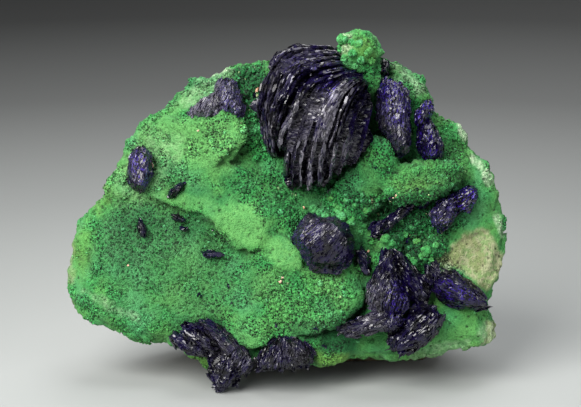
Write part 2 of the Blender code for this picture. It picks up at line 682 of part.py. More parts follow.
def block(shape, grow):
    """A crystal's root in the crust, a girdle at its silhouette and a smaller crown, with flat facets."""
    centre = Vector(middle(shape.corners))
    slope = Vector(shape.slope)
    turn = Matrix.Rotation(long_axis(shape.corners), 2)
    narrow = turn @ Matrix.Diagonal(shape.top) @ turn.transposed()
    root, girdle, table = [], [], []
    for corner in shape.corners:
        side = Vector(corner) - centre
        side *= 1.0 + grow * SOCKET_FLARE / side.length
        inner = narrow @ side
        root.append(spot(*(centre + side * ROOT_SHARE), ROOT - grow))
        girdle.append(spot(*(centre + side), shape.rim + slope.dot(side)))
        table.append(spot(*(centre + inner), shape.crown + grow + slope.dot(inner)))
    bm = bmesh.new()
    loft(bm, (root, girdle, table))
    closed(bm)
    return bm


def petal(shape, grow):
    """One bent blade of the rosette, thin at its free edge and thicker at its foot."""
    rings = []
    last = len(shape.edge) - 1
    for i, point in enumerate(shape.edge):
        run = (Vector(shape.edge[min(i + 1, last)]) - Vector(shape.edge[max(i - 1, 0)])).normalized()
        side = Vector((-run.y, run.x)).normalized()
        end = {0: -grow, last: grow}.get(i, 0.0)
        u, w, d = Vector(point) + run * end
        fu, fw = scaled([(u, w)], shape.foot, PETAL_CENTRE)[0]
        thin, thick = PETAL_EDGE / 2 + grow, PETAL_FOOT / 2 + grow
        rings.append(
            [
                spot(u + side.x * thin, w + side.y * thin, d + grow),
                spot(u - side.x * thin, w - side.y * thin, d + grow),
                spot(fu - side.x * thick, fw - side.y * thick, d - PETAL_REACH - grow),
                spot(fu + side.x * thick, fw + side.y * thick, d - PETAL_REACH - grow),
            ]
        )
    bm = bmesh.new()
    loft(bm, rings)
    closed(bm)
    return bm


def heart(grow):
    """The solid middle of the rosette, which holds its petals."""
    centre = middle(ROSETTE_HEART)
    widen = 1.0 + grow / HEART_REACH
    rings = []
    for share, d in HEART_SECTIONS:
        out = grow if d > 0 else -grow
        rings.append([spot(u, w, d + out) for u, w in scaled(ROSETTE_HEART, share * widen, centre)])
    bm = bmesh.new()
    loft(bm, rings)
    closed(bm)
    return bm


def fused(name, shapes, **looks):
    """One solid from overlapping shapes."""
    pieces = [new_object(f"{name}_{i}", bm) for i, bm in enumerate(shapes)]
    if len(pieces) == 1:
        bm = evaluated(pieces[0])
        bpy.data.objects.remove(pieces[0])
    else:
        bm = combined(pieces[0], pieces[1:], "UNION")
    keep_largest(bm)
    return new_object(name, bm, **looks)


def rosette(name, grow, **looks):
    return fused(name, [heart(grow), *(petal(shape, grow) for shape in PETALS)], **looks)


def crystal(name, blocks, grow, **looks):
    return fused(name, [block(shape, grow) for shape in blocks], **looks)


# ------------------------------------------------------------------ the specimen


def finish(name, colour, roughness):
    material = bpy.data.materials.new(name)
    material.use_nodes = True
    shader = material.node_tree.nodes["Principled BSDF"]
    shader.inputs["Base Color"].default_value = (*colour, 1.0)
    shader.inputs["Roughness"].default_value = roughness
    shader.inputs["Metallic"].default_value = 0.0
    material.diffuse_color = (*colour, 1.0)
    return material


def main():
    for obj in list(bpy.data.objects):
        bpy.data.objects.remove(obj)
    malachite = finish("malachite", *MALACHITE)
    azurite = finish("azurite", *AZURITE)

    crystals = [rosette("azurite_rosette", 0.0, material=azurite)]
    sockets = [rosette("rosette_socket", SOCKET_GAP, helper=True)]
    for name, blocks in CRYSTALS.items():
        crystals.append(crystal(name, blocks, 0.0, material=azurite))
        sockets.append(crystal(f"{name}_socket", blocks, SOCKET_GAP, helper=True))

    bm = combined(new_object("plain_rock", rock()), sockets, "DIFFERENCE")
    keep_largest(bm)
    crust = new_object("malachite_crusted_rock", bm, material=malachite)
    crust.data.shade_smooth()
    crust.data.set_sharp_from_angle(angle=SHARP_ANGLE)

    stand = bpy.data.objects.new("leaning_specimen", None)
    bpy.context.scene.collection.objects.link(stand)
    stand.location = Vector(FACE_ZERO) * MM
    stand.rotation_euler = (-LEAN, 0.0, 0.0)
    for obj in (crust, *crystals):
        obj.parent = stand


main()
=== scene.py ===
"""Finishes an azurite specimen: the malachite crust with its druse, the bladed azurite rosette, the smaller
azurite crystals and a plain stage.

Places are in millimetres in the face's own frame: u to the right, w up the face from the tip of the lowest
crystal, and d out of the face, which leans back.
"""

import math
import random

import bmesh
import bpy
import numpy as np
from bpy.props import FloatProperty, FloatVectorProperty, IntProperty, PointerProperty
from bpy.types import Operator, Panel, PropertyGroup
from mathutils import Matrix, Vector, noise
from mathutils.bvhtree import BVHTree


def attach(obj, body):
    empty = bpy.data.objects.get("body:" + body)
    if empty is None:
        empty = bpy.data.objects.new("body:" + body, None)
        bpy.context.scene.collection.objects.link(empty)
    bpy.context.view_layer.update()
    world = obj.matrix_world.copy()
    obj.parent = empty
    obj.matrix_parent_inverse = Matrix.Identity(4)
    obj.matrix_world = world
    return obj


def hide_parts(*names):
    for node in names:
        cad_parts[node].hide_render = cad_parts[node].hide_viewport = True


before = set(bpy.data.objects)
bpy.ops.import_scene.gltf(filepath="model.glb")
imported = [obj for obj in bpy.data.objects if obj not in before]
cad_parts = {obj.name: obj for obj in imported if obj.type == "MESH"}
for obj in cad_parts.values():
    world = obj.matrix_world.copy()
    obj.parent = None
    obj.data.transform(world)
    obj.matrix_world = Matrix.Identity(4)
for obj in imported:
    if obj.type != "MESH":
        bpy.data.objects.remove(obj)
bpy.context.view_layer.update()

bl_info = {
    "name": "Azurite specimen",
    "version": (1, 0, 0),
    "blender": (4, 5, 0),
    "location": "3D View > Sidebar > Specimen",
    "description": "Azurite crystals on a malachite-crusted rock",
    "category": "Object",
}

MM = 0.001
LEAN = math.radians(14)
FACE_ZERO = (-0.3, -19.75, 0.0)
FACE = Matrix.Translation(Vector(FACE_ZERO) * MM) @ Matrix.Rotation(-LEAN, 4, "X")
ONTO_FACE = np.array(FACE.inverted())
OFF_FACE = np.array(FACE)
ROCK = "malachite_crusted_rock"
ROSETTE = "azurite_rosette"


def srgb(red, green, blue):
    """A linear colour from 8-bit screen values."""
    parts = [value / 255 for value in (red, green, blue)]
    return tuple(p / 12.92 if p <= 0.04045 else ((p + 0.055) / 1.055) ** 2.4 for p in parts)


# ------------------------------------------------------------------ settings


def amount(name, description, default):
    return FloatProperty(name=name, description=description, default=default, min=0.0)


def number(name, description, default):
    return IntProperty(name=name, description=description, default=default, min=0)


def size(name, description, default):
    """A length in millimetres."""
    return amount(name, description + ", in millimetres", default)


def colour(name, description, *screen):
    """A colour from 8-bit screen values."""
    kind = {"subtype": "COLOR", "min": 0.0, "max": 1.0}
    return FloatVectorProperty(name=name, description=description, default=srgb(*screen), **kind)


class CrustSettings(PropertyGroup):
    voxel: size("Mesh size", "Edge of the crust's mesh on its face", 0.45)
    swell: size("Swell", "Height of the crust's broad unevenness", 0.45)
    lumps: size("Lumps", "Height of the crust's rounded lumps", 0.45)
    lip: size("Lips", "How far a ledge's lip stands over the groove beneath it", 1.5)
    rim: size("Rim", "How far the crumbling rim stands out", 1.2)
    pit: size("Pits", "Depth of the crust's pits", 0.5)
    broken: amount("Broken back", "How much of their depth the breaks on the back have", 1.0)
    grain: size("Grain", "Mean diameter of a druse grain", 0.62)
    grains: number("Grains", "Grains tried for on each third of the face", 3600)
    chunks: number("Chunks", "Coarse lumps tried for in the hollows", 1300)
    triangles: number("Triangles", "Triangles of the crusted rock", 196000)


class CrystalSettings(PropertyGroup):
    voxel: size("Mesh size", "Edge of a small crystal's mesh", 0.34)
    facet: size("Facets", "Height of the steps between a crystal's facets", 0.55)
    plane: size("Planes", "Edge of a small crystal's plane facets", 0.75)
    flakes: amount("Flakes", "Crystal flakes for each square millimetre", 0.9)
    scales: number("Rosette flakes", "Crystal flakes on the rosette's blades", 460)


class SpecimenColours(PropertyGroup):
    green: colour("Green", "Malachite of the open face", 68, 152, 78)
    vivid: colour("Vivid green", "Malachite where pits and grains crowd", 40, 172, 82)
    dusky: colour("Dusky green", "Greyish malachite of the left of the face", 62, 121, 72)
    # Painted shade in the recesses and under the ledges; also darker malachite in the random mottle.
    dark_and_shade: colour("Dark green", "Malachite of the hollows", 14, 90, 42)
    pale: colour("Pale green", "Smooth malachite of the lobes", 104, 176, 94)
    mint: colour("Mint green", "Bluish malachite in patches and lumps", 100, 186, 130)
    lime: colour("Lime", "Yellowish malachite along the rims", 126, 170, 66)
    bare: colour("Bare patch", "Rock where the crust has broken away", 178, 182, 140)
    # Partly a painted highlight on the lit rims and the knob's upper left, partly pale crust.
    chalk_and_highlight: colour("Chalk", "Whitish malachite of the crumbling rims", 192, 222, 180)
    rock: colour("Rock", "Host rock of the back", 146, 128, 100)
    azurite: colour("Azurite", "Azurite away from the light", 8, 6, 14)
    violet: colour("Violet", "Azurite where light comes through its faces", 58, 32, 152)
    # Partly frosted faces, partly a painted sheen: the lamps' reflection on rough faces laid into the colour
    # as silvery grey.
    frost_and_sheen: colour("Frost", "Azurite where a face is rough and silvery", 122, 119, 130)
    calcite: colour("Calcite", "Small pinkish grains", 214, 158, 122)
    floor: colour("Floor", "Floor round the specimen", 164, 167, 166)


class StageSettings(PropertyGroup):
    lens: FloatProperty(name="Lens", description="Focal length", default=120.0, unit="CAMERA")
    distance: FloatProperty(
        name="Distance", description="From the camera to the specimen's face", default=0.5327, unit="LENGTH"
    )


# ------------------------------------------------------------------ places


def turned_to_face(vectors):
    """Row-frame vectors as across, up and out of the face."""
    local = vectors @ ONTO_FACE[:3, :3].T
    return np.column_stack((local[:, 0], local[:, 2], -local[:, 1]))


def on_face(points):
    """Row-frame points as across, up and out of the face, in millimetres."""
    local = points @ ONTO_FACE[:3, :3].T + ONTO_FACE[:3, 3]
    return np.column_stack((local[:, 0], local[:, 2], -local[:, 1])) / MM


def off_face(points):
    """The way back from on_face."""
    local = np.column_stack((points[:, 0], -points[:, 2], points[:, 1])) * MM
    return local @ OFF_FACE[:3, :3].T + OFF_FACE[:3, 3]


def above_ground(points):
    """Row-frame points, none of them below the surface that the specimen stands on."""
    return np.column_stack((points[:, :2], np.maximum(points[:, 2], 0.0)))


def unit(vectors):
    return vectors / np.linalg.norm(vectors, axis=-1, keepdims=True)


def beside(flat, start, end):
    """A segment's run, and for points: where each lies from the segment's start, the share of the run that it
    is abreast of, and its distance."""
    run = end - start
    away = flat - start
    share = np.clip(away @ run / (run @ run), 0.0, 1.0)
    return run, away, share, np.hypot(*(away - share[:, None] * run).T)


def depth_inside(points, corners):
    """How far each point across and up the face lies inside a polygon, in millimetres; negative outside."""
    corners = np.array(corners, float)
    flat = points[:, :2]
    nearest = np.full(len(flat), np.inf)
    inside = np.zeros(len(flat), bool)
    for start, end in zip(corners, np.roll(corners, -1, axis=0)):
        run, away, _, gap = beside(flat, start, end)
        nearest = np.minimum(nearest, gap)
        if run[1]:
            crossed = (start[1] > flat[:, 1]) != (end[1] > flat[:, 1])
            inside ^= crossed & (flat[:, 0] < start[0] + away[:, 1] * run[0] / run[1])
    return np.where(inside, nearest, -nearest)


def near_line(points, corners):
    """How far each point lies to the left of a line across the face, negative to its right, in millimetres,
    and the share of its strength there, which fades towards the line's ends."""
    corners = np.array(corners, float)
    flat = points[:, :2]
    nearest = np.full(len(flat), np.inf)
    side = np.zeros(len(flat))
    run_at = np.zeros(len(flat))
    passed = 0.0
    for start, end in zip(corners[:-1], corners[1:]):
        run, away, share, gap = beside(flat, start, end)
        length = np.hypot(*run)
        closer = gap < nearest
        nearest[closer] = gap[closer]
        side[closer] = np.sign(run[0] * away[closer, 1] - run[1] * away[closer, 0])
        run_at[closer] = passed + share[closer] * length
        passed += length
    return side * nearest, ramp(run_at, 0.0, 3.0) * ramp(passed - run_at, 0.0, 3.0)


def ramp(values, low, high):
    """Rises smoothly from 0 at low to 1 at high."""
    share = np.clip((values - low) / (high - low), 0.0, 1.0)
    return share * share * (3.0 - 2.0 * share)


def within(points, corners, softness, wobble=0.0):
    """How far each point belongs to a polygon of the face that ends softly, from 0 to 1."""
    return ramp(depth_inside(points, corners) + wobble, -softness, softness)


def ripple(points, lump, seed):
    """Noise from -1 to 1 with lumps of a size in millimetres."""
    shift = Vector((17.3, 5.1, 9.7)) * seed
    return np.array([noise.noise(Vector(p) / lump + shift) for p in points])


def bubbles(points, lump, seed):
    """Rounded lumps of a size in millimetres: 1 at the middle of each and 0 in the creases."""
    shift = Vector((3.7, 11.9, 6.1)) * seed
    heights = []
    for p in points:
        near, second = noise.voronoi(Vector(p) / lump + shift)[0][:2]
        heights.append(min(1.0, 1.6 * (second - near)) * (1.0 - 0.5 * near))
    return np.array(heights)


def pits(points, spacing, share, seed):
    """Round pits: 1 at the bottom of each, 0 between them. A share of the possible ones is there."""
    shift = Vector((9.1, 2.3, 5.9)) * seed
    depths = []
    for p, chance in zip(points, share):
        distances, centres = noise.voronoi(Vector(p) / spacing + shift)
        there = noise.cell_vector(centres[0] * 7.0).x < chance
        depths.append(max(0.0, 1.0 - distances[0] / 0.5) if there else 0.0)
    return ramp(np.array(depths), 0.0, 0.8)


# ------------------------------------------------------------------ zones of the face

# Each zone: its corners across and up the face, how softly it ends in millimetres, and its strength.
ZONES = {
    "pale": (
        (((-17.6, 50.8), (-12.7, 52.7), (-8.3, 51.9), (-5.6, 48.1), (-5.1, 43.2), (-8.3, 41), (-12.7, 41.5),
          (-16.5, 44.3), (-19.8, 47.5)), 1.8, 0.85),
        (((-4.5, 42), (1, 42.5), (4.8, 38), (4, 34.5), (-2, 34), (-4.8, 37)), 1.4, 0.85),
        (((-37, 74), (-26, 75.5), (-13, 75.5), (-10.6, 73), (-11, 68), (-15, 61), (-24, 61),
          (-35, 65)), 2.0, 0.9),
        # The next two are painted light: paler green beside the centre block, lifting the shade it casts
        # there.
        (((8, 37), (15.5, 38), (16, 30), (14, 24), (8, 28)), 1.5, 0.8),
        (((-9, 34), (0, 33), (0, 25), (-9, 25)), 1.5, 0.5),
        (((-30, 60), (-22, 62), (-16, 61), (-22, 57), (-31, 56)), 1.5, 0.3),
        (((40, 15), (52, 19), (55, 16), (52, 10), (40, 10)), 2.0, 0.5),
        (((-33.7, 54.1), (-27.5, 54.6), (-22.3, 53.6), (-17.6, 51.1), (-19.8, 49.2), (-23.6, 50.5),
          (-27.5, 51.4), (-32.4, 52.2)), 0.9, 0.35),
        (((-47, 62), (-42, 66), (-36, 64), (-33, 58), (-38, 54), (-46, 55), (-50, 57)), 2.5, 0.5),
        (((-14, 22), (-4, 19), (-5, 13.5), (-11, 12), (-16, 18)), 2.0, 0.45),
        (((-1, 27), (16, 28), (17, 22), (11, 17.5), (4, 16), (-4, 17)), 2.5, 0.25),
        (((-42, 71), (-33, 80), (-22, 85), (-24, 80), (-32, 75), (-38, 67)), 2.0, 0.55),
        (((-55, 54), (-49, 60), (-45, 66), (-43, 64), (-47, 57), (-52, 51)), 1.5, 0.5),
        (((27.5, 57.5), (34, 61), (45, 61), (47, 58), (40, 55), (30, 54)), 1.6, 0.2),
        # Painted highlight: the knob's lit upper left, over paler crust.
        (((14, 97), (19, 99), (20, 95), (17, 92)), 1.5, 0.35),
    ),
    "dusky": (
        (((-51, 47), (-45, 52), (-37, 52.6), (-29, 48.5), (-26, 42), (-31, 36), (-42, 33),
          (-52, 37)), 2.5, 0.95),
        (((-37, 52), (-26, 48), (-18, 44), (-12, 36), (-16, 27), (-30, 25), (-46, 27), (-53, 35),
          (-52, 46)), 4.0, 0.6),
        (((-46, 30), (-30, 30), (-24, 22), (-36, 20), (-50, 22)), 4.0, 0.4),
        (((-33, 28), (-20, 30), (-6, 31), (-8, 25), (-17, 22), (-19, 16), (-32, 17)), 3.0, 0.6),
    ),
    # Painted shade: these darken the crust in the recesses, under the ledges and the shelf, and beneath the
    # rosette and the centre mass; some also hold darker malachite.
    "dark_and_shade": (
        (((-45, 51), (-38, 51), (-34, 46), (-40, 42), (-47, 44)), 3.0, 0.4),
        (((-33, 50), (-24, 48), (-18, 43), (-20, 38), (-28, 44)), 3.0, 0.5),
        (((-15, 89), (-7, 90), (-4, 84), (-6, 76), (-12.5, 77)), 1.5, 0.85),
        (((16, 56), (26, 54), (34, 56), (46, 55), (45, 44), (44, 36), (36, 34), (29, 40), (22, 45),
          (17, 50)), 1.8, 0.7),
        (((13, 60), (22, 66), (28, 69), (31, 60), (26, 53), (19, 51)), 2.0, 0.22),
        (((-14, 62), (-2, 60), (8, 58), (15, 52), (14, 49), (4, 50), (2, 44), (-4, 47), (-10, 53),
          (-22, 57)), 2.0, 0.3),
        (((29, 90), (36, 86), (43, 75), (38, 79), (32, 84)), 2.0, 0.4),
        (((22, 27), (17, 23), (8, 19), (9, 11), (19, 10), (22, 20)), 1.6, 0.95),
        (((1, 19.5), (10, 20.5), (14, 18), (14, 14), (2, 14)), 1.5, 0.9),
        (((14.5, 43), (22, 43), (22, 35), (16, 35)), 1.5, 0.95),
        (((29, 43), (38, 43), (38, 36), (30, 36)), 1.5, 1.0),
        (((27, 50), (36, 51), (46, 50), (46, 46), (32, 45)), 1.5, 0.8),
        (((-31, 83), (-25, 88), (-13, 90), (-13, 86.5), (-24, 83), (-30, 79)), 1.5, 0.25),
        (((-25, 20), (-17, 20), (-17, 14), (-25, 14)), 1.5, 0.5),
        (((34, 62), (36, 64), (46, 63), (49, 67), (44, 72), (34, 66)), 2.0, 0.5),
        (((31, 57), (37, 60), (46, 61), (52, 58), (52, 50), (46, 47), (36, 50)), 2.0, 0.7),
        (((9, 20), (22, 27), (22, 22), (14, 15), (9, 15)), 2.0, 0.35),
        (((-11, 40), (-3, 34), (-5, 29), (-13, 33)), 2.0, 0.3),
        (((-35, 58), (-24, 58), (-16, 54), (-18, 49), (-25, 50.5), (-32, 54)), 1.5, 0.4),
    ),
    "lime": (
        # The first is painted light: a yellowish band on the left rim, lighter where that side faces the
        # lamp.
        (((-58.5, 46), (-55, 47.5), (-53.5, 42), (-54.5, 32), (-57, 30), (-59, 38)), 2.0, 0.3),
        (((-30, 40), (-24, 42), (-22, 34), (-30, 30)), 4.0, 0.15),
        (((-54.5, 53), (-48.5, 58), (-47, 54), (-52, 48)), 1.5, 0.35),
        (((8, 11), (17, 10.5), (17, 6), (8, 6)), 1.2, 0.7),
        (((-27, 11), (-18, 9), (-18, 6), (-27, 8)), 1.5, 0.6),
        (((29, 57), (36, 59), (42, 58), (38, 55.5), (32, 55)), 1.4, 0.25),
        (((17, 97), (23, 96), (24, 90), (19, 91)), 1.6, 0.4),
        (((18, 10.5), (30, 10.5), (42, 11.5), (55, 14), (55, 11), (40, 8), (20, 7)), 0.8, 0.25),
        (((-45, 62), (-41, 70), (-38, 72), (-39, 66), (-43, 58)), 2.0, 0.3),
    ),
    "bare": (
        (((41.5, 36), (45, 39), (46, 36), (44, 32.5)), 1.0, 0.7),
        (((45, 40.5), (48, 43.5), (53, 45), (56, 44.5), (58.5, 40.5), (61.5, 35.5), (55.5, 27.5),
          (52, 30.5), (47.5, 33.5), (44.5, 36)), 0.8, 0.95),
        (((55.5, 19.5), (60, 19.5), (60, 13), (54, 13.5)), 0.8, 0.9),
        (((-63, 46), (-58.6, 43), (-58.9, 30), (-63, 30)), 0.8, 0.5),
        # Painted highlight: the knob's lit upper left, over cream crust.
        (((13, 96.5), (17, 97.5), (17, 93), (13.5, 91.5)), 1.2, 0.6),
        (((-56, 51), (-50, 57), (-52, 58), (-58, 52)), 0.8, 0.4),
    ),
    # Partly painted highlight along the rims and on the knob's lit upper left, partly pale crust.
    "chalk_and_highlight": (
        (((47.6, 74.6), (49.2, 73.6), (50.6, 70.2), (48.8, 69), (47.2, 71.2)), 0.6, 1.0),
        (((50, 66.6), (51.5, 65.6), (54.3, 62.6), (57.2, 58.6), (56.6, 56), (54.6, 57), (53.6, 60.4),
          (51, 63)), 0.7, 1.0),
        (((57.4, 51), (58.6, 49.6), (60.2, 42), (59.2, 42), (57.6, 48)), 0.6, 0.6),
        (((-47, 58), (-43, 66), (-39, 72), (-29, 70), (-29, 62), (-36, 54), (-46, 52)), 3.5, 0.18),
        (((-31, 79), (-24, 86), (-16, 88.5), (-15, 85), (-26, 78)), 2.0, 0.3),
        (((-24, 88.6), (-15, 90.4), (-15, 88.4), (-23, 86.8)), 0.7, 0.8),
        (((25, 86), (31, 87), (33, 81), (27, 80)), 1.5, 0.3),
        (((-56, 28), (-50, 23.5), (-40, 19), (-41, 21), (-50, 26)), 1.0, 0.25),
        (((41, 33.5), (44, 34.6), (47, 31.6), (46, 29.6), (42, 31)), 0.8, 0.7),
        (((53, 19), (57.5, 19.6), (58, 14), (53, 13)), 1.0, 0.35),
        (((12.6, 95), (14.6, 98.4), (17.4, 97.6), (16.6, 93.4), (14, 91.6)), 1.0, 0.75),
        (((28, 91.5), (34, 89), (38, 83), (36, 82), (30, 88)), 1.0, 0.35),
        (((34, 12), (44, 13.6), (50, 14.4), (50, 9), (34, 7)), 1.0, 0.3),
    ),
    "smooth": (
        (((-24.5, 51.5), (-17, 53.5), (-10, 52), (-5, 47), (-4.5, 42), (-9.5, 39.5), (-14, 41.5),
          (-20.5, 47)), 1.0, 0.85),
        (((-4.5, 42), (1, 42.5), (4.8, 38), (4, 34.5), (-2, 34), (-4.8, 37)), 1.0, 0.95),
        (((-36, 54.6), (-29, 55), (-22, 56), (-15, 55), (-15, 51), (-20, 49.5), (-28, 50.5),
          (-33, 52)), 1.0, 0.8),
        (((44, 42), (48, 46), (57, 47), (63, 40), (57, 25), (50, 30)), 0.8, 1.0),
        (((17, 17), (14, 8), (60, 12), (55, 24), (42, 29), (22, 22)), 1.5, 0.8),
        (((45, 58), (57, 62), (58, 45), (50, 45)), 1.5, 0.65),
        (((-62, 49), (-54.5, 49.5), (-53.5, 30), (-62, 27)), 1.5, 0.6),
        (((-52, 27), (-34, 30), (-22, 24), (-16, 10), (-34, 12), (-50, 18)), 4.0, 0.4),
        (((13, 95), (16, 100), (24, 99), (27, 92), (22, 90)), 2.0, 0.45),
        (((-52, 27), (-50, 48), (-40, 52), (-24, 46), (-16, 36), (-18, 26), (-34, 30)), 3.0, 0.3),
    ),
    "coarse": (
        (((16, 55), (26, 54), (34, 56), (46, 55), (45, 44), (43, 36), (36, 34), (29, 40), (22, 45),
          (17, 50)), 1.2, 1.0),
        (((-15, 89), (-7, 90), (-4, 84), (-6, 70), (-3, 63), (-9, 64), (-13, 71), (-12, 79)), 1.2, 0.8),
        (((-26, 85), (-15, 88.5), (-14, 86), (-24, 82)), 1.2, 0.5),
        (((8, 57), (15, 58), (17, 50), (14, 47), (9, 52)), 1.2, 0.9),
        (((24, 92), (33, 90), (42, 80), (47, 71), (43, 68), (36, 82), (27, 86)), 1.5, 0.35),
        (((-4, 33), (14, 34), (20, 28), (12, 20), (2, 17), (-6, 20), (-8, 27)), 3.0, 0.6),
        (((-20, 57), (-9, 61), (4, 56), (4, 46), (-3, 48), (-9, 54)), 2.0, 0.5),
        (((13, 99), (19, 99), (25, 95), (25, 86), (20, 83), (14, 87)), 1.2, 0.15),
        (((26, 57), (33, 62), (46, 63), (50, 58), (44, 52), (34, 51), (27, 54)), 1.5, 0.45),
        (((34, 74), (45, 76), (52, 66), (50, 58), (44, 62), (36, 64)), 2.0, 0.4),
    ),
    "violet": (
        (((24, 87), (31, 87), (35, 80), (35, 70), (31, 72), (26, 76)), 2.0, 0.75),
        (((33, 80), (41, 81), (41, 75), (34, 73)), 1.5, 1.0),
        (((45, 54), (51, 58), (54, 56), (52, 50), (47, 50)), 1.5, 0.9),
        (((27, 30), (32, 31), (34, 24), (32, 20), (28, 21)), 2.0, 0.8),
        (((42, 31), (49, 29.5), (52, 26), (46, 24.5), (42, 27)), 1.5, 0.7),
        (((-43, 67), (-38, 66), (-37, 61), (-38, 56), (-42, 58)), 1.2, 1.0),
        (((-28, 80), (-18, 88), (-17, 80), (-17, 73), (-27, 74)), 2.0, 0.3),
        (((-19, 87), (-11, 86), (-11, 73), (-17, 73)), 1.5, 0.7),
        (((2, 46), (8, 47), (9, 40), (3, 40)), 2.0, 0.4),
        (((9, 84), (14, 84), (13, 79), (9, 79)), 1.5, 0.9),
        (((-2, 92), (16, 92), (16, 87), (0, 85)), 3.0, 0.35),
        (((38, 56), (46, 56), (48, 48), (42, 42), (37, 47)), 2.0, 0.45),
        (((32, 76), (40, 76), (43, 66), (38, 62), (33, 68)), 2.0, 0.4),
    ),
    # Painted sheen: faces where the lamps' reflection is laid into the colour as silvery grey, over rough
    # frosted faces.
    "frost_and_sheen": (
        (((-28, 80), (-18, 88), (-17, 80), (-17, 73), (-27, 74)), 1.5, 0.95),
        (((-20, 86), (-11, 86), (-11, 73), (-18, 73)), 1.5, 0.45),
        (((-44, 67), (-37, 67), (-37, 55), (-44, 55)), 1.5, 0.3),
        (((-4, 66), (0, 76), (4, 80), (9, 82), (5, 74), (0, 66), (-4, 62)), 1.5, 0.8),
        (((9, 82), (18, 84), (16, 76), (12, 68), (8, 68), (8, 76)), 1.5, 0.85),
        (((10, 68), (15, 68), (15, 60), (9, 58)), 1.5, 0.7),
        (((3, 70), (17, 70), (22, 62), (14, 56), (3, 55)), 2.0, 1.0),
        (((3, 60), (7, 60), (14, 58), (14, 52), (2, 52)), 1.0, 1.0),
        (((-4, 70), (4, 80), (9, 82), (16, 80), (14, 66), (4, 58), (0, 62)), 2.0, 0.75),
        (((-9, 88), (0, 95), (15, 94), (15, 90), (3, 88), (-4, 76)), 3.0, 0.35),
        (((-8, 80), (-3, 80), (0, 66), (-6, 62)), 2.0, 0.5),
        (((24, 80), (34, 80), (33, 66), (26, 66)), 2.0, 0.25),
        (((37, 56), (45, 56), (45, 46), (38, 46)), 2.0, 0.2),
        (((20, 30), (26, 30), (25, 18), (20, 19)), 1.5, 0.6),
        (((2, 43), (5, 49), (13, 49), (15, 45), (10, 43), (6, 43)), 1.2, 0.3),
        (((15, 18), (26, 19), (26, 15), (15, 14)), 1.2, 0.5),
        (((-22, 18), (-12, 15), (-6, 8), (-12, 6), (-22, 12)), 2.0, 0.3),
        (((-4, 14), (6, 14), (6, 9), (-4, 9)), 2.0, 0.25),
    ),
}  # fmt: skip
BACK_STARTS = (-6.0, -12.0)  # depths over which the green crust gives way to host rock
CRUST_ZONES = ("pale", "dusky", "dark_and_shade", "lime", "bare", "chalk_and_highlight", "smooth", "coarse")
CRYSTAL_ZONES = ("violet", "frost_and_sheen")


def zone(points, name, wobble):
    """How far each point belongs to a zone, from 0 to 1."""
    share = np.zeros(len(points))
    for corners, softness, strength in ZONES[name]:
        share = np.maximum(share, strength * within(points, corners, softness, wobble))
    return share


def crust_zones(points):
    """Every zone's share at points of the face frame, and the host rock's."""
    wobble = 1.1 * ripple(points, 3.4, 1) + 0.5 * ripple(points, 1.2, 2)
    shares = {name: zone(points, name, wobble) for name in CRUST_ZONES}
    host = ramp(-(points[:, 2] + 4.0 * ripple(points, 9.0, 3)), -BACK_STARTS[0], -BACK_STARTS[1])
    shares["rock"] = host
    for name in CRUST_ZONES:
        shares[name] *= 1.0 - host
    return shares


def write_attributes(mesh, shares):
    for name, values in shares.items():
        attribute = mesh.attributes.new(name, "FLOAT", "POINT")
        attribute.data.foreach_set("value", np.ascontiguousarray(values, np.float32))


# ------------------------------------------------------------------ meshes


def alone(obj):
    """Makes an object the only selected one, and the active one."""
    bpy.ops.object.select_all(action="DESELECT")
    obj.select_set(True)
    bpy.context.view_layer.objects.active = obj


def linked(name, data):
    """A new object of the scene with a mesh, a light or a camera."""
    obj = bpy.data.objects.new(name, data)
    bpy.context.scene.collection.objects.link(obj)
    return obj


def built(name, points, faces):
    """A new object of the scene with a mesh of points and faces."""
    mesh = bpy.data.meshes.new(name)
    mesh.from_pydata(points, [], faces)
    return linked(name, mesh)


def edit_all(obj, operate, **settings):
    """Runs an edit-mode operator on the whole of an object's mesh."""
    alone(obj)
    bpy.ops.object.mode_set(mode="EDIT")
    bpy.ops.mesh.select_all(action="SELECT")
    operate(**settings)
    bpy.ops.object.mode_set(mode="OBJECT")


def copy_of(node, name):
    """A solid's mesh in a new object, with its loose triangles merged."""
    obj = linked(name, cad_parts[node].data.copy())
    obj.data.materials.clear()
    edit_all(obj, bpy.ops.mesh.remove_doubles, threshold=1e-6)
    return obj


def modify(obj, kind, **settings):
    """Applies a modifier to an object."""
    alone(obj)
    bpy.ops.object.modifier_add(type=kind)
    modifier = obj.modifiers[-1]
    for name, value in settings.items():
        setattr(modifier, name, value)
    bpy.ops.object.modifier_apply(modifier=modifier.name)


def reskin(obj, voxel):
    """Gives a closed mesh an even skin of small faces."""
    modify(obj, "REMESH", mode="VOXEL", voxel_size=voxel * MM)


def of_points(mesh, key):
    values = np.zeros(len(mesh.vertices) * 3)
    mesh.vertices.foreach_get(key, values)
    return values.reshape(-1, 3)


def coordinates(mesh):
    return of_points(mesh, "co")


def normals(mesh):
    return of_points(mesh, "normal")


def area_of(mesh):
    """A mesh's area in square millimetres."""
    return sum(face.area for face in mesh.polygons) / MM**2


def move_to(mesh, points):
    """Moves a mesh's points, given in the row frame."""
    mesh.vertices.foreach_set("co", above_ground(points).ravel())
    mesh.update()


def raise_points(mesh, heights):
    """Moves a mesh's points outwards by heights in millimetres."""
    move_to(mesh, coordinates(mesh) + normals(mesh) * heights[:, None] * MM)


def place(obj, material, slot, *nodes):
    """Finishes a piece: its material, the solids that it stands for and the body that it moves with."""
    obj.data.materials.append(material)
    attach(obj, "root")
    if nodes:
        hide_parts(*nodes)


# ------------------------------------------------------------------ the crust

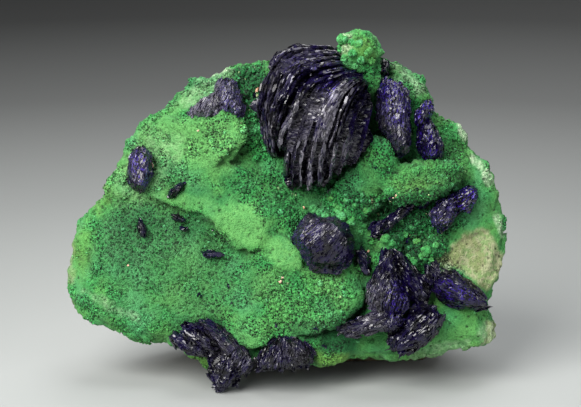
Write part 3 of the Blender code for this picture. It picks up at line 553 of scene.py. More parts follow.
# Crisp edges of the crust's ledges, each with its raised side on the left of its run, and the share of the
# lips' height.
LIPS = (
    (((-20.5, 61.5), (-17.9, 63.4), (-15.1, 66.4), (-12.8, 67.8), (-11.7, 70.6), (-12, 73.4), (-13.9, 75.9),
      (-18.4, 76.3), (-25.6, 75.4), (-31, 74)), 1.0),
    (((-38, 54.6), (-35.1, 53.3), (-32.3, 51.7), (-26.2, 49.7), (-21.7, 48.9), (-19, 46.6), (-17.3, 43.3),
      (-14, 40.5), (-9.5, 39), (-6, 40)), 0.75),
    (((2, 15.4), (8.1, 16.4), (10.8, 17.5), (13.3, 19.4), (15.7, 21.3), (18.7, 22.8), (21.2, 25.7),
      (21.5, 30)), 1.3),
    (((-18, 15.5), (-14, 14.5), (-10, 12.8), (-6, 13.2), (-1, 15)), 0.8),
    (((25, 57), (26.9, 54.6), (31, 53.4), (34.8, 52.2), (38.1, 52.6), (42.2, 54.9), (46.5, 57.5)), 1.2),
    (((48, 60.5), (45, 62.4), (41.9, 63.2), (36.5, 62.6), (31, 60.7), (28, 57.8)), 0.8),
    (((32, 61), (30.7, 62.8), (28.3, 64.5), (28, 68), (25.5, 69.8), (23.6, 69), (22, 66)), 0.8),
    (((41, 32.5), (42.6, 34.4), (44.1, 38.4), (47.4, 41.8), (51.8, 44), (58, 46)), 0.25),
    (((-53, 30), (-53.5, 38), (-52, 45), (-47, 50), (-42, 52.5)), -0.35),
    (((4, 33), (4.8, 36), (3.5, 40), (0, 42.8), (-4, 43.5)), 0.5),
    (((-49, 57), (-44, 62.5), (-41, 69), (-37, 73), (-31, 77)), -0.4),
    (((18.3, 99.2), (20.4, 98.2), (20.9, 96.2), (19.6, 94.4), (17.4, 94.2), (15.9, 95.8), (16.2, 98.2),
      (18.2, 99.2)), 0.5),
)  # fmt: skip
LIP_REACH = 2.0  # width of the groove and of the raised lip, in millimetres

# Places where the crust lies lower than the solid it stands for, how softly each one ends and how much lower
# it lies.
SUNK = (
    (((24.2, 86.5), (24.4, 90.5), (26.5, 93), (29.2, 91), (28.8, 87)), 0.8, 2.0),
    (((12, 92), (12, 100), (24, 101), (26, 94), (22, 88)), 2.0, 0.5),
)  # fmt: skip

# Places where the crust runs softly from one ledge to the next, and how softly each one ends.
SOFT_PLACES = (
    (((-42, 72), (-38, 60), (-30, 56), (-19, 58), (-17, 63), (-25, 67), (-34, 73)), 3.0),
    (((-22, 32), (-12, 38), (-4, 33), (4, 33), (14, 37), (14, 32), (0, 27), (-8, 26), (-13, 12),
      (-20, 14)), 3.0),
    (((-12, 61), (2, 58), (8, 54), (5, 44), (-3, 46), (-8, 54), (-20, 58)), 3.0),
    (((-30, 83), (-29, 89), (-21, 89), (-21, 85), (-25, 83)), 1.0),
)  # fmt: skip


def lip_heights(points, facing):
    """Lifts the rims of the ledges and sinks the grooves beneath them, in shares of the lip height."""
    wobble = 0.55 * ripple(points, 2.2, 4)
    heights = np.zeros(len(points))
    for corners, share in LIPS:
        left, strength = near_line(points, corners)
        left = left + wobble
        heights += share * strength * np.tanh(left / 0.4) * np.exp(-np.abs(left) / LIP_REACH)
    return heights * ramp(facing, 0.05, 0.5)


def neighbours(mesh):
    edges = np.zeros(len(mesh.edges) * 2, np.int64)
    mesh.edges.foreach_get("vertices", edges)
    a, b = edges.reshape(-1, 2).T
    ends, others = np.concatenate((a, b)), np.concatenate((b, a))
    return ends, others, np.bincount(ends, minlength=len(mesh.vertices))


def relaxed(points, ends, others, count):
    """Each point moved to the middle of its neighbours."""
    sums = [np.bincount(ends, weights=points[others, axis], minlength=len(points)) for axis in range(3)]
    return np.column_stack(sums) / count[:, None]


def soften_places(mesh):
    places = on_face(coordinates(mesh))
    share = np.zeros(len(places))
    for corners, softness in SOFT_PLACES:
        share = np.maximum(share, within(places, corners, softness))
    share *= ramp(places[:, 2], -9.0, -5.0)
    around = neighbours(mesh)
    points = coordinates(mesh)
    for _ in range(70):
        points += share[:, None] * 0.7 * (relaxed(points, *around) - points)
    move_to(mesh, points)


def chipped(points, facet, seed):
    """Heights of flat broken faces that meet along edges, about 0, in shares of a facet's width."""
    shift = Vector((3.7, 8.3, 1.9)) * seed
    heights = []
    for point in points:
        here = Vector(point) / facet + shift
        planes = []
        for centre in noise.voronoi(here)[1]:
            chance = noise.cell_vector(centre)
            slant = Vector((chance.y - 0.5, chance.z - 0.5, chance.x - 0.5))
            planes.append(0.5 * chance.x + slant.dot(here - centre))
        heights.append(min(planes))
    return np.array(heights)


# The back's breaks, coarse to fine: the width of their faces and the height of the steps between them, in
# millimetres, and the share of that height that lifts them all.
BREAKS = ((15.0, 11.0, 0.02), (6.0, 4.5, 0.1), (2.6, 1.6, 0.1))
BREAK_LIMITS = (-3.5, 1.2)  # how far in and out they may go, in millimetres


def break_back(rock, sizes):
    """Gives the back and the sides the rough faces of broken rock."""
    mesh = rock.data
    points = on_face(coordinates(mesh))
    share = ramp(-points[:, 2], 1.0, 9.0) * ramp(coordinates(mesh)[:, 2] / MM, 0.4, 2.5)
    moved = np.flatnonzero(share > 0)
    heights = np.zeros(len(points))
    for seed, (wide, high, lift) in enumerate(BREAKS, 1):
        heights[moved] += high * (chipped(points[moved], wide, seed) + lift)
    heights[moved] += 0.25 * ripple(points[moved], 1.4, 12)
    raise_points(mesh, np.clip(heights, *BREAK_LIMITS) * share * sizes.broken)


def flatten_back(mesh):
    """Shades the crust smooth, and leaves the faces of the broken rock flat."""
    mesh.shade_smooth()
    depths = on_face(coordinates(mesh))[:, 2]
    for face in mesh.polygons:
        face.use_smooth = max(depths[i] for i in face.vertices) > BACK_STARTS[0] - 2.0


def thin_back(rock, triangles):
    """Gives the back of the rock, which is plain, larger faces than the front."""
    places = on_face(coordinates(rock.data))
    back = rock.vertex_groups.new(name="back")
    for i, share in enumerate(ramp(-places[:, 2], 4.0, 9.0)):
        if share > 0.01:
            back.add([i], float(share), "REPLACE")
    ratio = triangles / (2 * len(rock.data.polygons))
    modify(rock, "DECIMATE", ratio=ratio, vertex_group=back.name, vertex_group_factor=10.0)
    rock.vertex_groups.clear()


def sculpt_crust(rock, sizes):
    """Moves the crust's points for its swells, lips, crumbling rim, lumps and pits, and returns the pits."""
    mesh = rock.data
    soften_places(mesh)
    points = on_face(coordinates(mesh))
    facing = turned_to_face(normals(mesh))[:, 2]
    shares = crust_zones(points)
    swell = ripple(points, 7.0, 5) + 0.6 * ripple(points, 3.2, 6)
    lumps = bubbles(points, 1.9, 1) * (0.2 + shares["coarse"] + 0.35 * shares["rock"])
    fine = bubbles(points, 1.0, 2) * (1.0 - 0.9 * shares["smooth"]) * (1.0 - shares["rock"])
    heights = sizes.swell * swell + sizes.lip * lip_heights(points, facing)
    heights += sizes.lumps * (1.9 * lumps * (1.0 - shares["smooth"]) + 0.5 * fine - 0.35)
    holes = pit_depths(points, shares)
    heights -= sizes.pit * holes
    rim = ramp(-np.abs(facing), -0.75, -0.3) * ramp(points[:, 2], -9.0, -5.0)
    heights += rim * sizes.rim * (0.75 + 0.9 * ripple(points, 2.4, 9))
    heights += 0.7 * np.abs(ripple(points, 5.0, 7)) * shares["rock"]
    for corners, softness, depth in SUNK:
        heights -= depth * within(points, corners, softness)
    heights[coordinates(mesh)[:, 2] < 0.4 * MM] = 0.0
    raise_points(mesh, heights)
    return holes


def crowding(points, shares):
    """How thickly pits and grains crowd the crust, from 0 to 1."""
    crowd = ramp(ripple(points, 5.5, 10) + 0.6 * ripple(points, 2.6, 11), -0.35, 0.4)
    front = (1.0 - shares["rock"]) * ramp(points[:, 2], -8.0, -3.0)
    crowd = np.maximum(0.75 * crowd, 0.8 * shares["dusky"])
    return front * np.maximum(crowd, shares["coarse"]) * (1.0 - 0.9 * shares["smooth"])


def pit_depths(points, shares):
    """Pits of the crust, in crowds and far apart, from 0 to 1."""
    crowd = crowding(points, shares)
    wide = pits(points, 1.15, 0.12 + 0.8 * crowd, 1)
    return np.maximum(wide, 0.8 * pits(points, 0.8, 0.05 + 0.5 * crowd, 2))


def hollow_share(mesh):
    """How deep each point lies beneath its neighbours, from 0 to 1."""
    around = neighbours(mesh)
    points = coordinates(mesh)
    level = points.copy()
    for _ in range(8):
        level = relaxed(level, *around)
    rise = np.einsum("ij,ij->i", level - points, normals(mesh)) / MM
    return ramp(rise, -0.05, 0.3)


def druse_spots(rock, tries, spacing, accept, seed):
    """Points scattered over a mesh's faces, at most one in each cell of a grid of that spacing: their places,
    normals and random shares."""
    mesh = rock.data
    mesh.calc_loop_triangles()
    corners = np.zeros(len(mesh.loop_triangles) * 3, np.int64)
    mesh.loop_triangles.foreach_get("vertices", corners)
    corners = corners.reshape(-1, 3)
    points = coordinates(mesh)
    turned = normals(mesh)
    a, b, c = (points[corners[:, i]] for i in range(3))
    areas = np.linalg.norm(np.cross(b - a, c - a), axis=1)
    weights = areas * accept[corners].mean(axis=1)
    draw = np.random.default_rng(seed)
    chosen = draw.choice(len(corners), size=tries, p=weights / weights.sum())
    along = draw.random((tries, 2))
    flip = along.sum(axis=1) > 1
    along[flip] = 1 - along[flip]
    r, s = along.T[:, :, None]
    at = a[chosen] * (1 - r - s) + b[chosen] * r + c[chosen] * s
    out = turned[corners[chosen]].mean(axis=1)
    cell = spacing * MM
    taken = set()
    keep = []
    for i, key in enumerate(map(tuple, np.floor(at / cell).astype(int))):
        if key not in taken:
            taken.add(key)
            keep.append(i)
    return at[keep], out[keep], draw.random(len(keep))


def unit_ball(subdivisions):
    bm = bmesh.new()
    bmesh.ops.create_icosphere(bm, subdivisions=subdivisions, radius=1.0)
    balls = np.array([v.co[:] for v in bm.verts])
    faces = np.array([[v.index for v in f.verts] for f in bm.faces])
    bm.free()
    return balls, faces


def scatter_balls(name, places, outward, radii, subdivisions, seed, flat=0.75):
    """One mesh of many slightly squashed and dented balls."""
    draw = np.random.default_rng(seed)
    ball, faces = unit_ball(subdivisions)
    count = len(places)
    turn, _ = np.linalg.qr(draw.normal(size=(count, 3, 3)))
    dents = 1.0 + draw.uniform(-0.22, 0.22, (count, len(ball), 1))
    shapes = np.einsum("nij,kj->nki", turn, ball) * dents
    stretch = 1.0 + draw.uniform(-0.25, 0.25, (count, 1, 3))
    shapes *= stretch
    along = np.einsum("nki,ni->nk", shapes, outward)[:, :, None]
    shapes -= outward[:, None, :] * along * (1.0 - flat)
    points = places[:, None, :] + shapes * radii[:, None, None]
    offset = np.arange(count)[:, None, None] * len(ball)
    obj = built(name, above_ground(points.reshape(-1, 3)), (faces[None] + offset).reshape(-1, 3))
    obj.data.shade_smooth()
    return obj


def finish_balls(balls, values, colours):
    """Gives each ball of a mesh its own values, and finishes the mesh as malachite."""
    each = len(balls.data.vertices) // len(values["shade"])
    write_attributes(balls.data, {name: np.repeat(held, each) for name, held in values.items()})
    place(balls, malachite_material(colours), "malachite_crust")


def nearest_values(rock, places, names):
    """A mesh's attributes at the points of it that lie nearest to the given places."""
    tree = BVHTree.FromObject(rock, bpy.context.evaluated_depsgraph_get())
    polygons = rock.data.polygons
    index = [polygons[tree.find_nearest(Vector(p))[2]].vertices[0] for p in places]
    values = {}
    for name in names:
        held = np.zeros(len(rock.data.vertices), np.float32)
        rock.data.attributes[name].data.foreach_get("value", held)
        values[name] = held[index]
    return values


# ------------------------------------------------------------------ details

EYE = (1.1, 52.0, 532.7)  # where the details below are seen from
# Each detail: across and up the face as seen from there, and its radius, in millimetres.
MINT_LUMPS = (
    (12.2, 53.3, 0.9), (10.4, 55.7, 1.1), (14.9, 48.4, 1.6), (14.4, 50.2, 1.2), (17.9, 47.0, 1.3),
    (7.5, 50.5, 1.3), (9.0, 49.7, 1.0), (10.7, 48.4, 1.1), (27.3, 42.1, 1.5), (29.0, 41.2, 1.2),
    (26.1, 52.2, 1.1), (28.1, 55.5, 1.3), (38.6, 38.8, 1.4), (35.1, 36.1, 1.4), (37.0, 37.6, 1.0),
    (33.8, 37.6, 1.0), (30.5, 38.6, 0.9), (24.5, 44.5, 0.9), (20.5, 44.0, 0.9), (21.8, 50.0, 0.9),
    (32.5, 43.5, 1.0), (35.8, 41.5, 1.1), (41.0, 40.5, 0.9), (18.8, 51.5, 0.8), (13.2, 51.5, 0.7),
    (16.2, 52.8, 0.7), (31.5, 47.0, 0.9), (34.5, 45.5, 0.8), (28.5, 46.0, 0.8), (39.8, 36.6, 0.8),
    (15.6, 97.0, 1.5), (17.8, 96.0, 1.2), (15.0, 94.6, 1.2), (20.0, 95.6, 1.4), (18.0, 93.4, 1.1),
    (22.3, 93.6, 1.3), (16.0, 92.0, 1.0), (20.6, 91.5, 1.1), (23.4, 91.2, 1.0), (19.0, 89.8, 0.9),
)  # fmt: skip
CALCITE_GRAINS = (
    (-36.8, 62.6, 0.7), (-8.4, 83.3, 0.8), (-24.4, 72.1, 0.35), (-43.6, 35.0, 0.35), (-1.8, 30.6, 0.6),
    (-1.2, 31.6, 0.4), (30.2, 54.1, 0.5), (29.4, 53.6, 0.35), (40.2, 70.8, 0.3), (4.8, 50.9, 0.4),
    (22.6, 38.9, 0.4), (44.7, 52.5, 0.45), (-2.5, 12.5, 0.7), (-1.5, 11.6, 0.5),
)  # fmt: skip
AZURITE_SPECKS = (
    (8.1, 17.5, 0.9), (10.5, 13.0, 1.0), (-16.0, 29.5, 0.8), (-23.9, 27.0, 1.0), (-14.9, 24.6, 0.7),
    (11.5, 55.4, 1.2), (-2.6, 18.5, 1.0), (1.0, 17.6, 0.8), (28.8, 53.4, 1.1), (23.8, 45.8, 1.5),
    (17.2, 43.0, 0.9), (-52.0, 42.0, 0.4), (33.0, 41.8, 1.2), (24.6, 62.0, 0.6), (35.4, 56.2, 1.2),
    (-20.2, 44.8, 0.5), (-33.0, 44.5, 0.5),
)  # fmt: skip


def seen_on(tree, details):
    """Where the lines of sight of a list of details meet a surface: places, normals and radii."""
    eye = Vector(off_face(np.array([EYE]))[0])
    places, outward, radii = [], [], []
    for u, w, radius in details:
        sight = Vector(off_face(np.array([(u, w, 0.0)]))[0]) - eye
        place, normal, _, _ = tree.ray_cast(eye, sight)
        if place is None:
            raise RuntimeError(f"the crust is missed at {u}, {w}")
        places.append(place)
        outward.append(normal)
        radii.append(radius)
    return np.array(places), np.array(outward), np.array(radii)


def clusters(places, outward, radii, pieces, seed):
    """Small balls crowded round each place, over the half of it that shows: places, normals and radii."""
    draw = np.random.default_rng(seed)
    away = unit(draw.normal(size=(len(places), pieces, 3)))
    inward = np.einsum("ijk,ik->ij", away, outward)
    away -= np.minimum(inward, 0.0)[:, :, None] * outward[:, None, :] * 1.6
    spots = places[:, None, :] + away * radii[:, None, None] * 0.62 * MM
    sizes = radii[:, None] * draw.uniform(0.35, 0.62, (len(places), pieces))
    return spots.reshape(-1, 3), away.reshape(-1, 3), sizes.ravel()


# ------------------------------------------------------------------ crystals

# Each small crystal: the lie of its blades in degrees from the right and how far it turns for each millimetre
# across them, the length and width of its facets in millimetres, its share of the facets' height, and the
# share of its flakes that stand on edge.
FACETS = {
    "azurite_upper_left": (66, 3.0, 2.6, 0.9, 0.8, 0.4),
    "azurite_left_edge": (80, 0.0, 2.2, 1.4, 0.35, 0.0),
    "azurite_centre_block": (50, 4.0, 1.9, 1.3, 0.35, 0.0),
    "azurite_tall_right": (82, -1.5, 2.0, 0.9, 1.0, 0.5),
    "azurite_right_rim": (75, 0.0, 1.8, 0.8, 0.9, 0.3),
    "azurite_top_chip": (60, 0.0, 1.4, 0.7, 0.6, 0.2),
    "azurite_right_twins": (40, 0.0, 1.3, 0.9, 0.9, 0.2),
    "azurite_lower_blade": (-25, 0.0, 3.6, 0.8, 0.45, 0.15),
    "azurite_crossed_blades": (80, -2.0, 4.0, 0.8, 1.1, 0.8),
    "azurite_thin_blade": (42, 0.0, 3.0, 0.6, 0.6, 0.8),
    "azurite_under_shelf": (20, 0.0, 1.6, 0.8, 0.6, 0.4),
    "azurite_lowest_cluster": (-38, 0.0, 3.4, 0.8, 1.0, 0.85),
    "azurite_bottom_fan": (88, -7.0, 3.2, 0.8, 1.0, 0.85),
    "azurite_slip": (-55, 0.0, 2.0, 0.6, 0.5, 0.7),
    "azurite_grain_upper": (52, 0.0, 1.6, 0.5, 0.4, 0.6),
    "azurite_grain_left": (-70, 0.0, 1.6, 0.5, 0.4, 0.6),
    "azurite_grain_middle": (-15, 0.0, 1.2, 0.5, 0.4, 0.5),
    "azurite_grain_inner": (0, 0.0, 1.0, 0.5, 0.4, 0.5),
    "azurite_grain_lower": (0, 0.0, 1.6, 0.5, 0.4, 0.5),
}  # fmt: skip
# How much wider some crystals' crowns are than their solids', the depths between which they widen, the height
# on the face below which the crown slopes down, and the share of its height that it loses in each millimetre.
CROWNS = {"azurite_centre_block": (1.13, 6.0, 8.5, 42.5, 0.075)}
# Blades of the larger groups that lie another way than the rest: corners on the face, and the lie there.
OTHER_LIES = (
    (((15, 24), (27, 23), (27, 14), (14, 14)), 14),
    (((27, 18), (32, 24), (44, 24), (42, 12), (28, 10)), 48),
    (((28, 31), (28, 41), (36, 40), (41, 32), (36, 25), (31, 26)), -58),
    (((-18, 0), (-20, 11), (-14, 12), (-9, 10), (-12, 0)), 60),
)  # fmt: skip


def facet_heights(cells):
    """Steps and slants of many small crystal faces, one for each cell of a space."""
    heights = []
    for place in cells:
        here = Vector(place)
        centre = noise.voronoi(here)[1][0]
        chance = noise.cell_vector(centre)
        slant = Vector((chance.y - 0.5, chance.z - 0.5, chance.x - 0.5)) * 1.7
        heights.append(chance.x - 0.5 + slant.dot(here - centre))
    return np.array(heights)


def widen_crown(mesh, share, low, high, fold, slope):
    """Widens a crystal's top and slopes its lower part."""
    points = on_face(coordinates(mesh))
    crown = ramp(points[:, 2], low, high)
    middle = points[crown > 0.9, :2].mean(axis=0)
    points[:, :2] += (points[:, :2] - middle) * ((share - 1.0) * crown)[:, None]
    below = np.maximum(fold - points[:, 1] + 0.25 * (points[:, 0] - middle[0]), 0.0)
    points[:, 2] -= np.maximum(points[:, 2] - low, 0.0) * np.minimum(slope * below, 0.7)
    move_to(mesh, off_face(points))


def lie_of(points, lie, fan):
    """The lie of the blades at points of the face, in radians from the right."""
    angle = math.radians(lie)
    across = points[:, 1] * math.cos(angle) - points[:, 0] * math.sin(angle)
    turned = angle + np.radians(fan) * (across - across.mean())
    for corners, other in OTHER_LIES:
        turned[depth_inside(points, corners) > 0] = math.radians(other)
    return turned


def along_blades(mesh, lie, fan):
    """Where a crystal's points lie along its blades, across them and out of the face, in millimetres."""
    points = on_face(coordinates(mesh))
    turned = lie_of(points, lie, fan)
    along = points[:, 0] * np.cos(turned) + points[:, 1] * np.sin(turned)
    across = points[:, 1] * np.cos(turned) - points[:, 0] * np.sin(turned)
    return along, across, points[:, 2]


def facet_crystal(mesh, lie, fan, length, width, height):
    """Steps and slants a crystal's skin in facets that run along its blades."""
    along, across, out = along_blades(mesh, lie, fan)
    cells = np.column_stack((along / length, across / width, out / length))
    steps = facet_heights(cells * 0.7) + 0.35 * facet_heights(cells * 1.7 + 11.0) - 0.5
    raise_points(mesh, steps * height)


def plane_facets(obj, edge):
    """Turns a crystal's fine skin into plane facets with edges of about a length in millimetres."""
    triangle = 0.43 * edge * edge
    ratio = area_of(obj.data) / triangle / (2 * len(obj.data.polygons))
    modify(obj, "DECIMATE", ratio=min(1.0, ratio))


def paint_crystal(mesh, along, across, out):
    """Writes a crystal's zones, and where each point lies along and across its blades and out of them."""
    points = on_face(coordinates(mesh))
    wobble = 1.4 * ripple(points, 2.4, 8)
    shares = {name: zone(points, name, wobble) for name in CRYSTAL_ZONES}
    write_attributes(mesh, {**shares, "along": along, "across": across, "out": out})


FLAKE = ((-0.5, 0.0), (-0.27, 0.5), (0.31, 0.45), (0.5, 0.06), (0.25, -0.5), (-0.32, -0.46))


def flakes(places, along, standing, sizes, tilt, seed):
    """Thin six-sided crystal flakes: their points and faces. Each has its own length, width and thickness,
    and is tilted a little at random, by about tilt radians."""
    draw = np.random.default_rng(seed)
    count = len(places)
    long = unit(along)
    flat = unit(np.cross(long, standing))
    wide = np.cross(flat, long)
    frame_of = np.stack((long, wide, flat), axis=1)  # rows are the flake's own axes
    turn = draw.normal(0.0, tilt, (count, 3))
    spun = np.zeros((count, 3, 3))
    spun[:, 0, 1], spun[:, 0, 2], spun[:, 1, 2] = turn.T
    spun -= spun.transpose(0, 2, 1)
    frame_of, _ = np.linalg.qr((frame_of + spun @ frame_of).transpose(0, 2, 1))
    frame_of = frame_of.transpose(0, 2, 1)
    rings = []
    for level, share in ((0.5, 0.78), (-0.5, 1.0)):
        rings += [(x * share, y * share, level) for x, y in FLAKE]
    shape = np.array(rings)[None] * sizes[:, None, :]
    shape[:, :, :2] *= 1.0 + draw.uniform(-0.15, 0.15, (count, len(rings), 1))
    points = places[:, None, :] + np.einsum("nkj,nji->nki", shape, frame_of)
    n = len(FLAKE)
    faces = [tuple(range(n)), tuple(reversed(range(n, 2 * n)))]
    faces += [(i, n + i, n + (i + 1) % n, (i + 1) % n) for i in range(n)]
    every = []
    for i, turning in enumerate(np.linalg.det(frame_of)):
        for face in faces:
            every.append(tuple(2 * n * i + k for k in (face if turning < 0 else face[::-1])))
    return points.reshape(-1, 3), every


def add_flakes(obj, lie, fan, length, upright, per_square, seed):
    """Adds flakes along a crystal's blades where they show, a share of them on edge."""
    mesh = obj.data
    facing = turned_to_face(normals(mesh))[:, 2]
    shown = ramp(facing, -0.5, 0.2)
    tries = max(8, int(area_of(mesh) * per_square * (0.15 + 0.85 * upright)))
    places, outward, chance = druse_spots(obj, tries, 0.7, shown + 1e-9, seed)
    draw = np.random.default_rng(seed)
    turned = lie_of(on_face(places), lie, fan)
    along = np.column_stack((np.cos(turned), np.zeros(len(turned)), np.sin(turned))) @ OFF_FACE[:3, :3].T
    along = along - outward * np.einsum("ij,ij->i", along, outward)[:, None] * 0.9
    on_edge = draw.random(len(places)) < upright
    standing = np.where(on_edge[:, None], outward, np.cross(unit(along), outward))
    longs = length * (0.7 + 0.9 * chance)
    wides = draw.uniform(0.9, 1.9, len(places)) * min(1.0, length / 2.0)
    thicks = draw.uniform(0.25, 0.55, len(places)) * min(1.0, length / 2.0)
    sunk = np.where(on_edge, wides * 0.3, thicks * 0.2)
    sizes = np.column_stack((longs, wides, thicks)) * MM
    points, faces = flakes(places - outward * (sunk * MM)[:, None], along, standing, sizes, 0.10, seed)
    join_points(obj, points, faces)


def join_points(obj, points, faces):
    """Adds loose pieces to an object's mesh."""
    mesh = obj.data
    bm = bmesh.new()
    bm.from_mesh(mesh)
    verts = [bm.verts.new(point) for point in above_ground(points)]
    for face in faces:
        bm.faces.new([verts[i] for i in face])
    bm.to_mesh(mesh)
    bm.free()
    mesh.update()


# The free edges of the rosette's petals, outermost first, as across, up and out; then each foot's share of
# its edge about the rosette's axis.
PETAL_CENTRE = (16.0, 66.5)
PETAL_REACH = 11.0
PETALS = (
    (((14.6, 95.1, 5), (8.6, 94.8, 6), (3.7, 95.4, 7), (0.4, 94.5, 7), (-3.1, 91.8, 7), (-5.1, 88.0, 7),
      (-7.5, 83.6, 6), (-8.3, 79.2, 6), (-7.8, 74.3, 5), (-6.7, 68.9, 4)), 0.8),
    (((15.2, 93.4, 8), (9.7, 93.4, 9), (4.5, 93.0, 10), (0.4, 91.4, 10), (-2.9, 88.0, 10), (-5.1, 82.5, 10),
      (-6.2, 76.2, 9), (-5.9, 69.9, 7), (-5.1, 65.3, 5)), 0.86),
    (((15.4, 91.8, 10), (9.7, 91.5, 12), (4.2, 90.6, 13), (0.7, 88.3, 13), (-1.8, 83.6, 13),
      (-3.7, 78.1, 12), (-4.5, 72.7, 11), (-4.2, 67.2, 8), (-3.4, 63.9, 6)), 0.92),
    (((15.4, 90.2, 12), (10.5, 89.6, 14), (5.3, 88.4, 15), (2.3, 85.8, 16), (0.4, 81.1, 16),
      (-1.5, 76.0, 15), (-2.9, 70.5, 13), (-2.9, 65.3, 10)), 0.96),
    (((16.0, 88.5, 13), (10.8, 87.7, 16), (6.4, 85.8, 17), (3.7, 82.0, 18), (2.0, 77.6, 18),
      (0.4, 72.7, 17), (-1.0, 67.8, 15), (-1.0, 63.4, 12)), 1.0),
    (((17.3, 87.4, 14), (12.7, 86.1, 17), (8.6, 84.2, 19), (6.1, 80.9, 20), (4.5, 76.5, 20),
      (3.1, 72.1, 19), (1.5, 66.7, 17), (1.0, 61.2, 14), (1.2, 57.2, 11)), 1.04),
    (((19.5, 87.4, 15), (15.2, 85.5, 18), (11.3, 83.1, 20), (8.9, 79.8, 21), (7.2, 75.4, 21),
      (5.9, 70.5, 20), (4.2, 65.3, 18), (3.7, 60.7, 15), (4.2, 56.6, 12)), 1.06),
    (((21.2, 86.9, 16), (17.3, 84.7, 19), (14.1, 81.7, 21), (12.2, 77.6, 22), (10.8, 73.2, 22),
      (9.4, 68.0, 20), (8.1, 62.6, 17), (7.8, 57.0, 13)), 1.06),
    (((22.0, 85.2, 14), (19.3, 82.5, 18), (17.1, 79.0, 20), (15.7, 74.3, 21), (14.6, 69.4, 20),
      (13.0, 63.9, 17), (11.3, 57.8, 12)), 1.02),
    (((22.4, 82.5, 12), (21.0, 79.0, 16), (19.5, 74.3, 18), (18.4, 69.4, 17), (17.1, 65.0, 15),
      (15.4, 61.4, 11)), 0.98),
    (((22.8, 78.1, 10), (22.2, 73.5, 13), (21.6, 68.9, 13), (20.2, 64.5, 11), (18.5, 62.4, 8)), 0.92),
)  # fmt: skip
# The rosette's blades. For each: where it lies among the petals, at the start and the end of its run, the
# stretch of the run that it covers, how far it stands out and how thick its free edge is. A wide blade has
# two places at each end and two heights, for its left and right side.
BLADES = (
    (0.0, 0.0, 0.0, 0.95, -0.5, 0.7), (0.25, 0.22, 0.03, 1.0, 0.2, 0.6), (0.5, 0.45, 0.06, 0.93, -0.4, 0.6),
    (0.8, 0.7, 0.12, 0.9, -2.6, 0.7), (1.1, 0.95, 0.0, 0.97, 0.3, 0.8), (1.38, 1.2, 0.04, 1.0, 0.0, 0.6),
    (1.6, 1.4, 0.1, 0.9, -0.9, 0.6), (1.85, 1.65, 0.15, 0.85, -3.0, 0.8), (2.15, 1.9, 0.0, 0.93, 0.6, 0.8),
    (2.42, 2.15, 0.05, 0.98, 0.2, 0.6), (2.65, 2.35, 0.1, 0.9, -0.7, 0.6), (3.15, 2.75, 0.0, 0.6, 0.6, 0.9),
    (3.4, 2.95, 0.02, 0.8, -0.3, 0.6), (2.95, 2.6, 0.15, 0.9, -3.0, 0.7),
    (4.0, 4.75, 3.1, 3.75, 0.24, 0.93, -0.6, 0.7, 0.5), (4.9, 3.95, 0.14, 0.75, 0.6, 0.5),
    (4.15, 4.15, 0.0, 0.24, 0.2, 0.8), (4.45, 4.45, 0.0, 0.2, -0.5, 0.7), (5.0, 5.0, 0.0, 0.2, 0.1, 0.7),
    (5.3, 5.25, 0.0, 0.24, -0.7, 0.8), (5.45, 5.3, 0.2, 0.85, -2.2, 0.9), (5.75, 5.75, 0.0, 0.3, -1.6, 0.8),
    (6.25, 7.5, 6.3, 7.3, 0.08, 0.66, -0.4, 0.7, 0.5), (7.72, 7.5, 0.03, 0.7, 1.0, 0.4),
    (7.98, 7.75, 0.02, 0.62, 0.2, 0.4), (8.22, 8.0, 0.05, 0.5, -0.9, 0.4),
    (8.65, 9.2, 8.5, 8.9, 0.06, 0.42, -1.9, -1.5, 0.6), (9.7, 10.0, 9.5, 9.8, 0.03, 0.55, -2.0, -2.2, 0.8),
    (8.3, 8.9, 8.3, 9.1, 0.47, 0.95, -0.8, -1.2, 0.6), (9.4, 9.9, 9.4, 10.0, 0.5, 1.0, -1.5, -2.2, 0.8),
    (7.65, 7.95, 7.9, 8.3, 0.62, 1.0, -0.1, -0.6, 0.5), (7.0, 7.35, 7.1, 7.5, 0.63, 1.02, 0.1, -0.2, 0.5),
    (6.5, 6.75, 6.4, 6.8, 0.58, 1.04, -0.2, 0.1, 0.5), (5.95, 6.2, 5.75, 6.05, 0.5, 1.03, -0.5, -0.2, 0.5),
    (5.35, 5.6, 5.0, 5.3, 0.64, 1.03, -1.2, -0.9, 0.5), (4.7, 4.6, 0.74, 1.0, -3.2, 0.9),
)  # fmt: skip
STEP = 0.5  # millimetres between the points of a blade
RUN = 42.0  # length of a long petal's edge, in millimetres
PETAL_GAP = 3.74  # usual distance between the edges of two neighbouring petals, in millimetres
BLADE_ROWS = 8  # rows of points between a blade's free edge and its foot


def petal_table():
    """The petals' edges and feet at even steps of their runs."""
    shares = np.linspace(0.0, 1.0, 161)
    edges, feet = [], []
    for edge, foot in PETALS:
        run = np.array(edge, float)
        lengths = np.concatenate(([0.0], np.cumsum(np.linalg.norm(np.diff(run, axis=0), axis=1))))
        front = np.column_stack([np.interp(shares, lengths / lengths[-1], run[:, i]) for i in range(3)])
        for _ in range(40):
            front[1:-1] = (front[:-2] + 2 * front[1:-1] + front[2:]) / 4
        back = front.copy()
        back[:, :2] = np.array(PETAL_CENTRE) + (front[:, :2] - PETAL_CENTRE) * foot
        back[:, 2] -= PETAL_REACH
        edges.append(front)
        feet.append(back)
    return np.array(edges), np.array(feet)


